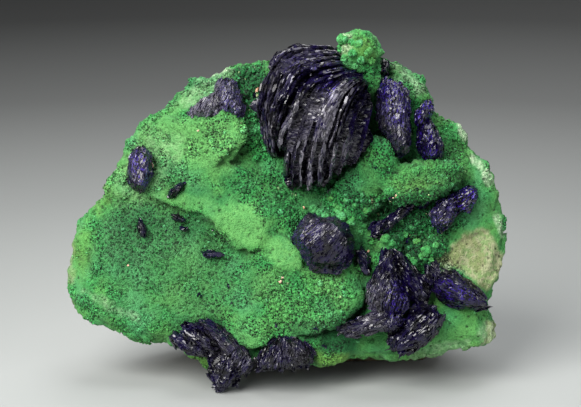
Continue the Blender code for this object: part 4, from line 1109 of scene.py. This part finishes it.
def among_petals(table, where, share):
    """Points of a table at places among the petals and shares of their runs."""
    where = np.clip(where, 0.0, len(table) - 1.0)
    share = np.clip(share, 0.0, 1.0) * (table.shape[1] - 1)
    i = np.minimum(where.astype(int), len(table) - 2)
    j = np.minimum(share.astype(int), table.shape[1] - 2)
    x, y = (where - i)[..., None], (share - j)[..., None]
    near = table[i, j] * (1 - y) + table[i, j + 1] * y
    far = table[i + 1, j] * (1 - y) + table[i + 1, j + 1] * y
    return near * (1 - x) + far * x


def blade(tables, shape, draw):
    """One bent blade with a ragged free edge: its points and faces, where each point lies on its skin, the
    run of the edge there and whether the point shows."""
    if len(shape) == 6:
        top, foot, start, end, lift, thick = shape
        shape = (top, top, foot, foot, start, end, lift, lift, thick)  # both sides lie at one place
    top_left, top_right, foot_left, foot_right, start, end, lift_left, lift_right, thick = shape
    edges, feet = tables
    steps = max(8, int(RUN * (end - start) / STEP))
    share = np.linspace(start, end, steps)[:, None]
    fall = (share - start) / (end - start)
    wide = PETAL_GAP * (top_right - top_left + foot_right - foot_left) / 2 + thick
    cells = max(2, round(wide / STEP))
    level = np.linspace(-1.0, 1.0, cells + 1)
    down = (np.arange(1, BLADE_ROWS + 1) / BLADE_ROWS) ** 1.3
    side = np.concatenate((level, np.ones(BLADE_ROWS), -np.ones(BLADE_ROWS)))[None]
    depth = np.concatenate((np.zeros(cells + 1), down, down[::-1]))[None]
    left = top_left + (foot_left - top_left) * fall
    right = top_right + (foot_right - top_right) * fall
    where = (left + right) / 2 + side * (right - left) / 2
    share = share + 0 * where
    front = among_petals(edges, where, share)
    foot = among_petals(feet, where, share)
    outward = unit(front - foot)
    run = np.gradient(front, axis=0)
    over = unit(np.cross(run, outward))
    seed = draw.uniform(0, 90)
    lift = np.zeros_like(where)
    for i in range(steps):
        at = share[i, 0] * RUN
        broad = noise.noise(Vector((at / 8.0, seed, 0.0)))
        sharp = noise.noise(Vector((at / 1.7, seed, 5.0)))
        chip = noise.cell(Vector((at / 4.5 + seed, seed, 0.0))) - 0.5
        drop = max(0.0, 1.0 - min(i, steps - 1 - i) / 4.0)
        lift[i] = 0.8 * broad + 0.14 * sharp / max(1.0, wide) + 0.7 * chip - 2.4 * drop * drop
        for j, x in enumerate(side[0]):
            lift[i, j] += 0.3 * noise.noise(Vector((x * wide / 1.6, at / 9.0, seed)))
    lift += lift_left + (lift_right - lift_left) * (side + 1) / 2 - 0.35 * side**2
    gone = np.clip(depth, 0.0, 1.0)[:, :, None]
    points = (front + outward * lift[:, :, None]) * (1 - gone) + foot * gone
    points += over * (side * (thick / 2 + 0.4 * depth))[:, :, None]
    count = side.shape[1]
    faces = []
    for i in range(steps - 1):
        for j in range(count):
            k = (j + 1) % count
            faces.append((i * count + j, i * count + k, (i + 1) * count + k, (i + 1) * count + j))
    faces.append(tuple(range(count)))
    faces.append(tuple((steps - 1) * count + j for j in reversed(range(count))))
    beside_run = np.broadcast_to(side * wide / 2, where.shape).ravel()
    below_edge = np.broadcast_to(depth * 9.0, where.shape).ravel() + seed * 3.0
    skin = np.column_stack(((share * RUN).ravel(), beside_run, below_edge))
    middle = (fall > 0.06) & (fall < 0.92)
    shown = ((depth < 0.25) & middle).ravel()
    return points.reshape(-1, 3), faces, skin, unit(run.reshape(-1, 3)), shown


def heart_of_rosette():
    """The solid rosette shrunk a little, to close the gaps between the blades."""
    heart = copy_of(ROSETTE, "rosette_heart")
    reskin(heart, 0.8)
    modify(heart, "SMOOTH", factor=0.5, iterations=30)
    raise_points(heart.data, np.full(len(heart.data.vertices), -3.2))
    return heart


# ------------------------------------------------------------------ material nodes


class Nodes:
    """Adds nodes to a tree and links them."""

    def __init__(self, tree):
        self.tree = tree

    def add(self, kind, inputs=None, **settings):
        node = self.tree.nodes.new(kind)
        for name, value in settings.items():
            setattr(node, name, value)
        for name, value in (inputs or {}).items():
            self.feed(node.inputs[name], value)
        return node

    def feed(self, socket, value):
        """Links a socket to another one or sets its value."""
        if isinstance(value, bpy.types.NodeSocket):
            self.tree.links.new(value, socket)
        elif socket.type == "RGBA" and len(value) == 3:
            socket.default_value = (*value, 1.0)
        else:
            socket.default_value = value

    def math(self, operation, first, second=0.0, clamp=False):
        node = self.add("ShaderNodeMath", {0: first, 1: second}, operation=operation, use_clamp=clamp)
        return node.outputs[0]

    def times(self, first, second, clamp=False):
        return self.math("MULTIPLY", first, second, clamp)

    def vectors(self, operation, *values):
        return self.add("ShaderNodeVectorMath", dict(enumerate(values)), operation=operation).outputs

    def scaled(self, vector, factor):
        return self.add("ShaderNodeVectorMath", {0: vector, "Scale": factor}, operation="SCALE").outputs[0]

    def noise(self, place, scale, detail):
        return self.add("ShaderNodeTexNoise", {"Vector": place, "Scale": scale, "Detail": detail}).outputs

    def cells(self, place, scale):
        return self.add("ShaderNodeTexVoronoi", {"Vector": place, "Scale": scale}, feature="F1").outputs

    def use(self, tree, place, **values):
        """Adds a node group at a place, with its own values."""
        return self.add("ShaderNodeGroup", {"Place": place, **values}, node_tree=tree).outputs

    def bump(self, strength, millimetres, height, **more):
        inputs = {"Strength": strength, "Distance": millimetres * MM, "Height": height, **more}
        return self.add("ShaderNodeBump", inputs).outputs["Normal"]

    def layered(self, ground, *layers):
        """A colour with others laid over it, each given as its share and itself."""
        for share, laid in layers:
            ground = self.mix(share, ground, laid)
        return ground

    def mix(self, share, first, second):
        node = self.add("ShaderNodeMix", data_type="RGBA", clamp_factor=True)
        self.feed(node.inputs[0], share)
        self.feed(node.inputs[6], first)
        self.feed(node.inputs[7], second)
        return node.outputs[2]

    def rise(self, value, low, high, to_low=0.0, to_high=1.0):
        """Maps low to high onto to_low to to_high, smoothly and clamped."""
        node = self.add(
            "ShaderNodeMapRange",
            {"Value": value, "From Min": low, "From Max": high, "To Min": to_low, "To Max": to_high},
            interpolation_type="SMOOTHSTEP",
        )
        return node.outputs["Result"]

    def attribute(self, name):
        return self.add("ShaderNodeAttribute", attribute_name=name, attribute_type="GEOMETRY").outputs["Fac"]

    def place(self):
        """Object coordinates in millimetres."""
        return self.scaled(self.add("ShaderNodeTexCoord").outputs["Object"], 1 / MM)


def group(name, values, outputs):
    """An empty node group that takes a place and named values, and its input and output nodes."""
    tree = bpy.data.node_groups.new(name, "ShaderNodeTree")
    tree.interface.new_socket("Place", in_out="INPUT", socket_type="NodeSocketVector")
    for label, default in values.items():
        socket = tree.interface.new_socket(label, in_out="INPUT", socket_type="NodeSocketFloat")
        socket.default_value = default
    for label, kind in outputs.items():
        tree.interface.new_socket(label, in_out="OUTPUT", socket_type="NodeSocket" + kind)
    nodes = Nodes(tree)
    return nodes, nodes.add("NodeGroupInput").outputs, nodes.add("NodeGroupOutput").inputs


def speckle_group():
    """Fine pits and grains: a mask that is 0 in the pits, and a height."""
    name = "fine_speckle"
    if name in bpy.data.node_groups:
        return bpy.data.node_groups[name]
    nodes, given, out = group(name, {"Grain": 0.6}, {"Mask": "Float", "Height": "Float"})
    scale = nodes.math("DIVIDE", 1.0, given["Grain"])
    wander = nodes.noise(given["Place"], nodes.times(scale, 0.8), 2.0)["Color"]
    bent = nodes.vectors("ADD", given["Place"], nodes.scaled(wander, 0.7))[0]
    pits = nodes.rise(nodes.cells(bent, scale)["Distance"], 0.14, 0.6)
    grit = nodes.rise(nodes.noise(given["Place"], nodes.times(scale, 2.2), 3.0)["Fac"], 0.36, 0.62)
    nodes.feed(out["Mask"], nodes.times(pits, nodes.math("ADD", nodes.times(grit, 0.6), 0.4)))
    nodes.feed(out["Height"], nodes.math("ADD", nodes.times(pits, 0.7), nodes.times(grit, 0.5)))
    return nodes.tree


def mottle_group():
    """Soft patches in two sizes, from 0 to 1."""
    name = "soft_mottle"
    if name in bpy.data.node_groups:
        return bpy.data.node_groups[name]
    nodes, given, out = group(name, {"Patch": 6.0}, {"Broad": "Float", "Small": "Float"})
    scale = nodes.math("DIVIDE", 1.0, given["Patch"])
    for key, finer, detail in (("Broad", 1.0, 4.0), ("Small", 4.5, 3.0)):
        patches = nodes.noise(given["Place"], nodes.times(scale, finer), detail)["Fac"]
        nodes.feed(out[key], nodes.rise(patches, 0.36, 0.64))
    return nodes.tree


def new_material(name):
    material = bpy.data.materials.new(name)
    material.use_nodes = True
    nodes = Nodes(material.node_tree)
    return material, nodes, material.node_tree.nodes["Principled BSDF"]


def malachite_material(colours):
    name = "malachite_druse"
    if name in bpy.data.materials:
        return bpy.data.materials[name]
    material, nodes, shader = new_material(name)
    at = nodes.place()
    broad, small = nodes.use(mottle_group(), at)
    mask, height = nodes.use(speckle_group(), at, Grain=0.68)
    pitted = nodes.attribute("pitted")
    chance = nodes.attribute("shade")
    hue = nodes.noise(at, 0.11, 2.0)["Fac"]

    bare = nodes.layered(
        colours.bare,
        (nodes.rise(small, 0.1, 0.9, 0.0, 0.75), srgb(128, 164, 96)),
        (nodes.rise(broad, 0.5, 0.9, 0.0, 0.5), srgb(140, 140, 92)),
    )
    stone = nodes.layered(
        colours.rock,
        (nodes.rise(broad, 0.2, 0.9), srgb(112, 94, 72)),
        (nodes.rise(small, 0.5, 0.85, 0.0, 0.45), srgb(74, 64, 50)),
        (nodes.rise(hue, 0.46, 0.34, 0.0, 0.42), srgb(142, 104, 66)),
        (nodes.rise(hue, 0.54, 0.68, 0.0, 0.5), colours.dusky),
    )
    pale = nodes.times(nodes.attribute("pale"), nodes.rise(small, 0.0, 1.0, 1.15, 0.7), clamp=True)
    # Painted highlight on the rims and the knob, laid over pale crust.
    chalk_and_highlight_share = nodes.times(nodes.attribute("chalk_and_highlight"), nodes.rise(small, 0.2, 0.8, 1.2, 0.55), clamp=True)
    cream = nodes.times(nodes.rise(chance, 0.96, 0.97, 0.0, 0.6), nodes.attribute("coarse"))
    tint = nodes.layered(
        colours.green,
        (nodes.times(broad, 0.45), colours.pale),
        (nodes.times(pitted, 0.75), colours.vivid),
        (nodes.rise(hue, 0.5, 0.68, 0.0, 0.35), colours.mint),
        (nodes.rise(hue, 0.5, 0.34, 0.0, 0.2), colours.lime),
        (nodes.times(nodes.attribute("dusky"), nodes.rise(small, 0.0, 1.0, 1.0, 0.6)), colours.dusky),
        (nodes.times(small, 0.25), colours.dark_and_shade),
        # Painted shade of the recesses and ledges, with some darker malachite.
        (nodes.attribute("dark_and_shade"), colours.dark_and_shade),
        (pale, colours.pale),
        (nodes.times(nodes.attribute("lime"), 0.8), colours.lime),
        (nodes.attribute("bare"), bare),
        (chalk_and_highlight_share, colours.chalk_and_highlight),
        (nodes.attribute("rock"), stone),
        (nodes.rise(chance, 0.72, 0.8, 0.0, 0.35), colours.mint),
        (cream, srgb(206, 204, 150)),
    )
    # Painted shade: the speckle's fine pits darken the colour, more where pits crowd and less on smooth
    # crust.
    pits = nodes.math("SUBTRACT", 1.0, mask)
    pits = nodes.times(pits, nodes.rise(pitted, 0.0, 0.8, 0.4, 1.3))
    pits = nodes.times(pits, nodes.rise(nodes.attribute("smooth"), 0.0, 1.0, 1.0, 0.5))
    shade = nodes.math("SUBTRACT", nodes.rise(pitted, 0.0, 1.0, 1.0, 1.3), pits)
    # Painted shade: the colour darkens in the hollows and pits of the crust.
    shade = nodes.times(shade, nodes.rise(nodes.attribute("hollow_shade"), 0.0, 1.0, 1.05, 0.25))
    shade = nodes.times(shade, nodes.rise(chance, -1.0, 1.0, 0.62, 1.2))
    nodes.feed(shader.inputs["Base Color"], nodes.scaled(tint, shade))
    nodes.feed(shader.inputs["Roughness"], nodes.rise(mask, 0.0, 1.0, 0.85, 0.6))
    shader.inputs["Specular IOR Level"].default_value = 0.3
    shader.inputs["Sheen Weight"].default_value = 0.06
    shader.inputs["Sheen Roughness"].default_value = 0.5
    shader.inputs["IOR"].default_value = 1.5
    nodes.feed(shader.inputs["Normal"], nodes.bump(0.7, 0.3, height))
    return material


def glitter_group():
    """Tiny crystal faces, each tilted its own way: a normal, and a chance for each face."""
    name = "crystal_glitter"
    if name in bpy.data.node_groups:
        return bpy.data.node_groups[name]
    nodes, given, out = group(name, {"Face": 0.5, "Tilt": 0.5}, {"Normal": "Vector", "Chance": "Float"})
    own = nodes.cells(given["Place"], nodes.math("DIVIDE", 1.0, given["Face"]))["Color"]
    parts = nodes.add("ShaderNodeSeparateColor", {"Color": own}).outputs
    loose = nodes.times(given["Tilt"], nodes.rise(parts[1], 0.55, 0.7, 0.2, 1.0))
    tilt = nodes.scaled(nodes.vectors("SUBTRACT", own, (0.5, 0.5, 0.5))[0], loose)
    level = nodes.add("ShaderNodeNewGeometry").outputs["Normal"]
    nodes.feed(out["Normal"], nodes.vectors("NORMALIZE", nodes.vectors("ADD", level, tilt)[0])[0])
    nodes.feed(out["Chance"], parts[0])
    return nodes.tree


def azurite_material(colours):
    name = "azurite_crystal"
    if name in bpy.data.materials:
        return bpy.data.materials[name]
    material, nodes, shader = new_material(name)
    along, across, out = (nodes.attribute(name) for name in ("along", "across", "out"))
    lies = {"X": nodes.times(along, 0.4), "Y": across, "Z": out}
    grain = nodes.add("ShaderNodeCombineXYZ", lies).outputs[0]
    broad, small = nodes.use(mottle_group(), nodes.place(), Patch=3.0)
    facing, chance = nodes.use(glitter_group(), grain, Face=0.46, Tilt=1.5)
    striae = nodes.noise(grain, 2.6, 3.0)["Fac"]
    glowing = nodes.times(nodes.rise(chance, 0.35, 0.75), nodes.rise(small, 0.25, 0.75))
    violet = nodes.times(nodes.attribute("violet"), glowing)
    violet = nodes.math("ADD", violet, nodes.times(broad, 0.09), clamp=True)
    # Painted sheen: silvery glints of the lamps' reflection laid into the base colour.
    painted_sheen = nodes.times(nodes.rise(striae, 0.32, 0.56), nodes.rise(chance, 0.15, 0.85, 0.15, 1.0))
    painted_sheen = nodes.times(nodes.attribute("frost_and_sheen"), painted_sheen)
    tint = nodes.layered(colours.azurite, (violet, colours.violet), (painted_sheen, colours.frost_and_sheen))
    nodes.feed(shader.inputs["Base Color"], tint)
    nodes.feed(shader.inputs["Roughness"], nodes.rise(striae, 0.35, 0.65, 0.13, 0.32))
    shader.inputs["IOR"].default_value = 1.73
    shader.inputs["Specular IOR Level"].default_value = 0.36
    nodes.feed(shader.inputs["Normal"], nodes.bump(0.3, 0.16, striae, Normal=facing))
    return material


def calcite_material(colours):
    material, nodes, shader = new_material("calcite")
    broad, _ = nodes.use(mottle_group(), nodes.place(), Patch=1.0)
    nodes.feed(shader.inputs["Base Color"], nodes.mix(broad, colours.calcite, srgb(240, 220, 200)))
    shader.inputs["Roughness"].default_value = 0.4
    return material


# Painted light falloff: the floor's colour darkens with distance from the specimen. Distances from the
# specimen, in metres, and the share of the floor's own colour there.
FLOOR_LIGHT_FALLOFF = ((0.0, 0.98), (0.08, 0.98), (0.22, 0.64), (0.42, 0.27), (0.68, 0.07), (1.6, 0.022))


def floor_material(colours):
    material, nodes, shader = new_material("floor_sheet")
    at = nodes.add("ShaderNodeTexCoord").outputs["Object"]
    away = nodes.vectors("LENGTH", at)["Value"]
    reach = FLOOR_LIGHT_FALLOFF[-1][0]
    painted_falloff = nodes.add("ShaderNodeValToRGB", {"Fac": nodes.math("DIVIDE", away, reach, clamp=True)})
    ramp_points = painted_falloff.color_ramp.elements
    while len(ramp_points) < len(FLOOR_LIGHT_FALLOFF):
        ramp_points.new(0.5)
    for point, (distance, share) in zip(ramp_points, FLOOR_LIGHT_FALLOFF):
        point.position = distance / reach
        point.color = (*(share * part for part in colours.floor), 1.0)
    nodes.feed(shader.inputs["Base Color"], painted_falloff.outputs["Color"])
    shader.inputs["Roughness"].default_value = 0.9
    return material


# ------------------------------------------------------------------ operators


class SPECIMEN_OT_crust(Operator):
    """Adds the malachite-crusted rock, with its ledges, lumps and coloured zones"""

    bl_idname = "specimen.crust"
    bl_label = "Add crusted rock"

    def execute(self, context):
        sizes = context.scene.crust_settings
        rock = copy_of(ROCK, "malachite_crust")
        reskin(rock, sizes.voxel)
        modify(rock, "SMOOTH", factor=0.5, iterations=6)
        break_back(rock, sizes)
        thin_back(rock, sizes.triangles)
        holes = sculpt_crust(rock, sizes)
        mesh = rock.data
        shares = crust_zones(on_face(coordinates(mesh)))
        # Painted shade of the hollows and pits, which the material darkens.
        shares["hollow_shade"] = np.maximum(0.7 * hollow_share(mesh), holes)
        shares["pitted"] = crowding(on_face(coordinates(mesh)), shares)
        shares["shade"] = np.zeros(len(mesh.vertices))
        write_attributes(mesh, shares)
        flatten_back(mesh)
        place(rock, malachite_material(context.scene.specimen_colours), "malachite_crust", ROCK)
        return {"FINISHED"}


class SPECIMEN_OT_druse(Operator):
    """Covers the face of the crust with fine malachite grains, and its hollows with coarse lumps"""

    bl_idname = "specimen.druse"
    bl_label = "Add malachite druse"

    def execute(self, context):
        sizes = context.scene.crust_settings
        rock = bpy.data.objects["malachite_crust"]
        mesh = rock.data
        points = on_face(coordinates(mesh))
        facing = turned_to_face(normals(mesh))[:, 2]
        shares = crust_zones(points)
        front = ramp(facing, -0.3, 0.3) * (1.0 - shares["rock"])
        grainy = front * crowding(points, shares) ** 1.5 * (1.0 - 0.85 * shares["dusky"]) + 1e-9
        thirds = (("left", -99, -20), ("middle", -20, 20), ("right", 20, 99))
        for seed, (side, low, high) in enumerate(thirds):
            here = (points[:, 0] >= low) & (points[:, 0] < high)
            spots = druse_spots(rock, sizes.grains, sizes.grain * 0.72, grainy * here, seed)
            self.add_balls(f"malachite_druse_{side}", rock, spots, sizes.grain / 2, 1, seed)
        coarse = front * ramp(shares["coarse"], 0.2, 0.8) + 1e-9
        spots = druse_spots(rock, sizes.chunks, sizes.grain * 2.1, coarse, 7)
        self.add_balls("malachite_lumps", rock, spots, sizes.grain * 0.85, 2, 7)
        return {"FINISHED"}

    @staticmethod
    def add_balls(name, rock, spots, radius, subdivisions, seed):
        places, outward, chance = spots
        radii = radius * MM * (0.6 + 1.2 * chance**3)
        raised = places + outward * radii[:, None] * 0.1
        balls = scatter_balls(name, raised, outward, radii, subdivisions, seed)
        values = nearest_values(rock, places, (*CRUST_ZONES, "rock", "pitted"))
        values["hollow_shade"] = np.full(len(places), 0.1)
        values["shade"] = np.random.default_rng(seed).uniform(-1.0, 1.0, len(places))
        finish_balls(balls, values, bpy.context.scene.specimen_colours)


class SPECIMEN_OT_details(Operator):
    """Adds the mint-green lumps, the calcite grains and the specks of azurite that sit on the crust"""

    bl_idname = "specimen.details"
    bl_label = "Add lumps, grains and specks"

    def execute(self, context):
        colours = context.scene.specimen_colours
        rock = bpy.data.objects["malachite_crust"]
        tree = BVHTree.FromObject(rock, context.evaluated_depsgraph_get())
        places, outward, radii = clusters(*seen_on(tree, MINT_LUMPS), 16, 3)
        lumps = scatter_balls("mint_lumps", places, outward, radii * MM, 2, 3, 0.9)
        values = {name: np.zeros(len(places)) for name in (*CRUST_ZONES, "rock", "hollow_shade")}
        values["pitted"] = np.full(len(places), 0.25)
        values["shade"] = np.random.default_rng(3).uniform(0.1, 0.95, len(places))
        finish_balls(lumps, values, colours)

        places, outward, radii = clusters(*seen_on(tree, CALCITE_GRAINS), 7, 4)
        grains = scatter_balls("calcite_grains", places, outward, radii * MM, 1, 4, 0.9)
        place(grains, calcite_material(colours), "malachite_crust")

        places, outward, radii = clusters(*seen_on(tree, AZURITE_SPECKS), 7, 5)
        draw = np.random.default_rng(5)
        along = draw.normal(size=(len(places), 3))
        lengths = radii[:, None] * draw.uniform((1.6, 0.9, 0.3), (3.0, 1.6, 0.6), (len(places), 3)) * MM
        points, faces = flakes(places, along, outward, lengths, 0.5, 5)
        specks = built("azurite_specks", points, faces)
        paint_crystal(specks.data, *on_face(points).T)
        place(specks, azurite_material(colours), "azurite")
        return {"FINISHED"}


class SPECIMEN_OT_crystals(Operator):
    """Adds the smaller azurite crystals, faceted and striated along their blades"""

    bl_idname = "specimen.crystals"
    bl_label = "Add small crystals"

    def execute(self, context):
        sizes = context.scene.crystal_settings
        material = azurite_material(context.scene.specimen_colours)
        for seed, (node, looks) in enumerate(FACETS.items()):
            lie, fan, length, width, share, upright = looks
            crystal = copy_of(node, node.replace("azurite_", "crystal_"))
            reskin(crystal, sizes.voxel)
            if node in CROWNS:
                widen_crown(crystal.data, *CROWNS[node])
            facet_crystal(crystal.data, lie, fan, length, width, sizes.facet * share)
            plane_facets(crystal, sizes.plane)
            add_flakes(crystal, lie, fan, length, upright, sizes.flakes, seed)
            paint_crystal(crystal.data, *along_blades(crystal.data, lie, fan))
            place(crystal, material, "azurite", node)
        return {"FINISHED"}


class SPECIMEN_OT_rosette(Operator):
    """Adds the big rosette of bent azurite blades"""

    bl_idname = "specimen.rosette"
    bl_label = "Add rosette"

    def execute(self, context):
        sizes = context.scene.crystal_settings
        material = azurite_material(context.scene.specimen_colours)
        draw = random.Random(12)
        tables = petal_table()
        points, faces, skins, runs, shown = [], [], [], [], []
        for shape in BLADES:
            more, sides, skin, run, seen = blade(tables, shape, draw)
            offset = sum(len(p) for p in points)
            faces.extend(tuple(index + offset for index in side) for side in sides)
            for held, values in zip((points, skins, runs, shown), (more, skin, run, seen)):
                held.append(values)
        rosette = built("rosette_blades", off_face(np.vstack(points)), faces)
        edit_all(rosette, bpy.ops.mesh.normals_make_consistent, inside=False)
        mesh = rosette.data
        skin = np.vstack(skins)
        steps = facet_heights(skin / (5.0, 1.3, 2.4)) + 0.5 * facet_heights(skin / (2.2, 0.7, 1.1) + 7.0)
        raise_points(mesh, steps * (sizes.facet * 0.45))
        alone(rosette)
        bpy.ops.object.shade_smooth_by_angle(angle=math.radians(28))
        paint_crystal(mesh, *skin.T)
        place(rosette, material, "azurite", ROSETTE)

        shown = np.flatnonzero(np.concatenate(shown))
        chosen = np.random.default_rng(5).choice(shown, sizes.scales, replace=False)
        runs = off_face(np.vstack(runs)[chosen]) - off_face(np.zeros((1, 3)))
        chance = np.random.default_rng(6).random((len(chosen), 4))
        standing = np.cross(runs, normals(mesh)[chosen])
        longs, wides, thicks = 1.2 + 2.6 * chance[:, 1], 0.4 + 0.6 * chance[:, 2], 0.2 + 0.2 * chance[:, 3]
        lengths = np.column_stack((longs, wides, thicks)) * MM
        more, sides = flakes(coordinates(mesh)[chosen], runs, standing, lengths, 0.1, 9)
        scales = built("rosette_flakes", more, sides)
        paint_crystal(scales.data, *np.repeat(skin[chosen], 2 * len(FLAKE), axis=0).T)
        place(scales, material, "azurite")

        heart = heart_of_rosette()
        paint_crystal(heart.data, *on_face(coordinates(heart.data)).T)
        place(heart, material, "azurite")
        return {"FINISHED"}


class SPECIMEN_OT_stage(Operator):
    """Adds the floor, the lights and the camera"""

    bl_idname = "specimen.stage"
    bl_label = "Add stage"

    def execute(self, context):
        settings = context.scene.stage_settings
        self.add_floor(context)
        self.add_lights(context)
        self.add_camera(context, settings)
        return {"FINISHED"}

    @staticmethod
    def add_floor(context):
        bpy.ops.object.select_all(action="DESELECT")
        bpy.ops.mesh.primitive_plane_add(size=8.0, location=(0.0, 0.0, -0.0002))
        floor = context.object
        floor.name = "floor"
        bpy.ops.object.transform_apply(location=True)
        floor.data.materials.append(floor_material(context.scene.specimen_colours))

    @staticmethod
    def add_lights(context):
        target = Vector((0.0, 0.0, 0.045))
        lamps = (
            ("key", (-0.40, -0.52, 0.55), 0.6, 13.8, (1.0, 0.99, 0.96)),
            ("fill", (0.60, -0.50, 0.35), 0.50, 2.0, (0.95, 0.97, 1.0)),
            ("top", (0.05, 0.10, 0.80), 0.50, 3.4, (1.0, 1.0, 1.0)),
            ("back", (0.30, 0.75, 0.50), 0.60, 2.4, (1.0, 1.0, 1.0)),
        )
        for name, where, width, power, tint in lamps:
            light = bpy.data.lights.new(name, "AREA")
            light.size = width
            light.energy = power
            light.color = tint
            lamp = linked(name, light)
            lamp.location = where
            lamp.rotation_euler = (target - Vector(where)).to_track_quat("-Z", "Y").to_euler()
        world = bpy.data.worlds.new("studio")
        world.use_nodes = True
        sky = world.node_tree.nodes["Background"].inputs
        sky["Color"].default_value = (0.8, 0.85, 0.9, 1.0)
        sky["Strength"].default_value = 0.09
        context.scene.world = world
        context.scene.view_settings.view_transform = "Standard"

    @staticmethod
    def add_camera(context, settings):
        lens = bpy.data.cameras.new("camera")
        lens.lens = settings.lens
        lens.sensor_width = 36.0
        camera = linked("camera", lens)
        aim = FACE @ (Vector((EYE[0], 0.0, EYE[1])) * MM)
        away = FACE.to_3x3() @ Vector((0.0, -1.0, 0.0))
        camera.matrix_world = Matrix.Translation(aim + away * settings.distance) @ (
            Matrix.Rotation(math.pi / 2 - LEAN, 4, "X")
        )
        context.scene.camera = camera


class SPECIMEN_PT_panel(Panel):
    """Lists the specimen's pieces and their settings"""

    bl_idname = "SPECIMEN_PT_panel"
    bl_label = "Azurite specimen"
    bl_space_type = "VIEW_3D"
    bl_region_type = "UI"
    bl_category = "Specimen"

    def draw(self, context):
        for operator in OPERATORS:
            self.layout.operator(operator.bl_idname)
        for name, settings in SETTINGS.items():
            box = self.layout.box()
            for key in settings.__annotations__:
                box.prop(getattr(context.scene, name), key)


OPERATORS = (
    SPECIMEN_OT_crust,
    SPECIMEN_OT_druse,
    SPECIMEN_OT_details,
    SPECIMEN_OT_crystals,
    SPECIMEN_OT_rosette,
    SPECIMEN_OT_stage,
)
SETTINGS = {
    "crust_settings": CrustSettings,
    "crystal_settings": CrystalSettings,
    "specimen_colours": SpecimenColours,
    "stage_settings": StageSettings,
}


def register():
    for cls in (*SETTINGS.values(), *OPERATORS, SPECIMEN_PT_panel):
        bpy.utils.register_class(cls)
    for name, settings in SETTINGS.items():
        setattr(bpy.types.Scene, name, PointerProperty(type=settings))


def unregister():
    for name in SETTINGS:
        delattr(bpy.types.Scene, name)
    for cls in reversed((*SETTINGS.values(), *OPERATORS, SPECIMEN_PT_panel)):
        bpy.utils.unregister_class(cls)


def main():
    register()
    bpy.ops.specimen.crust()
    bpy.ops.specimen.druse()
    bpy.ops.specimen.details()
    bpy.ops.specimen.crystals()
    bpy.ops.specimen.rosette()
    bpy.ops.specimen.stage()


if __name__ == "__main__":
    main()
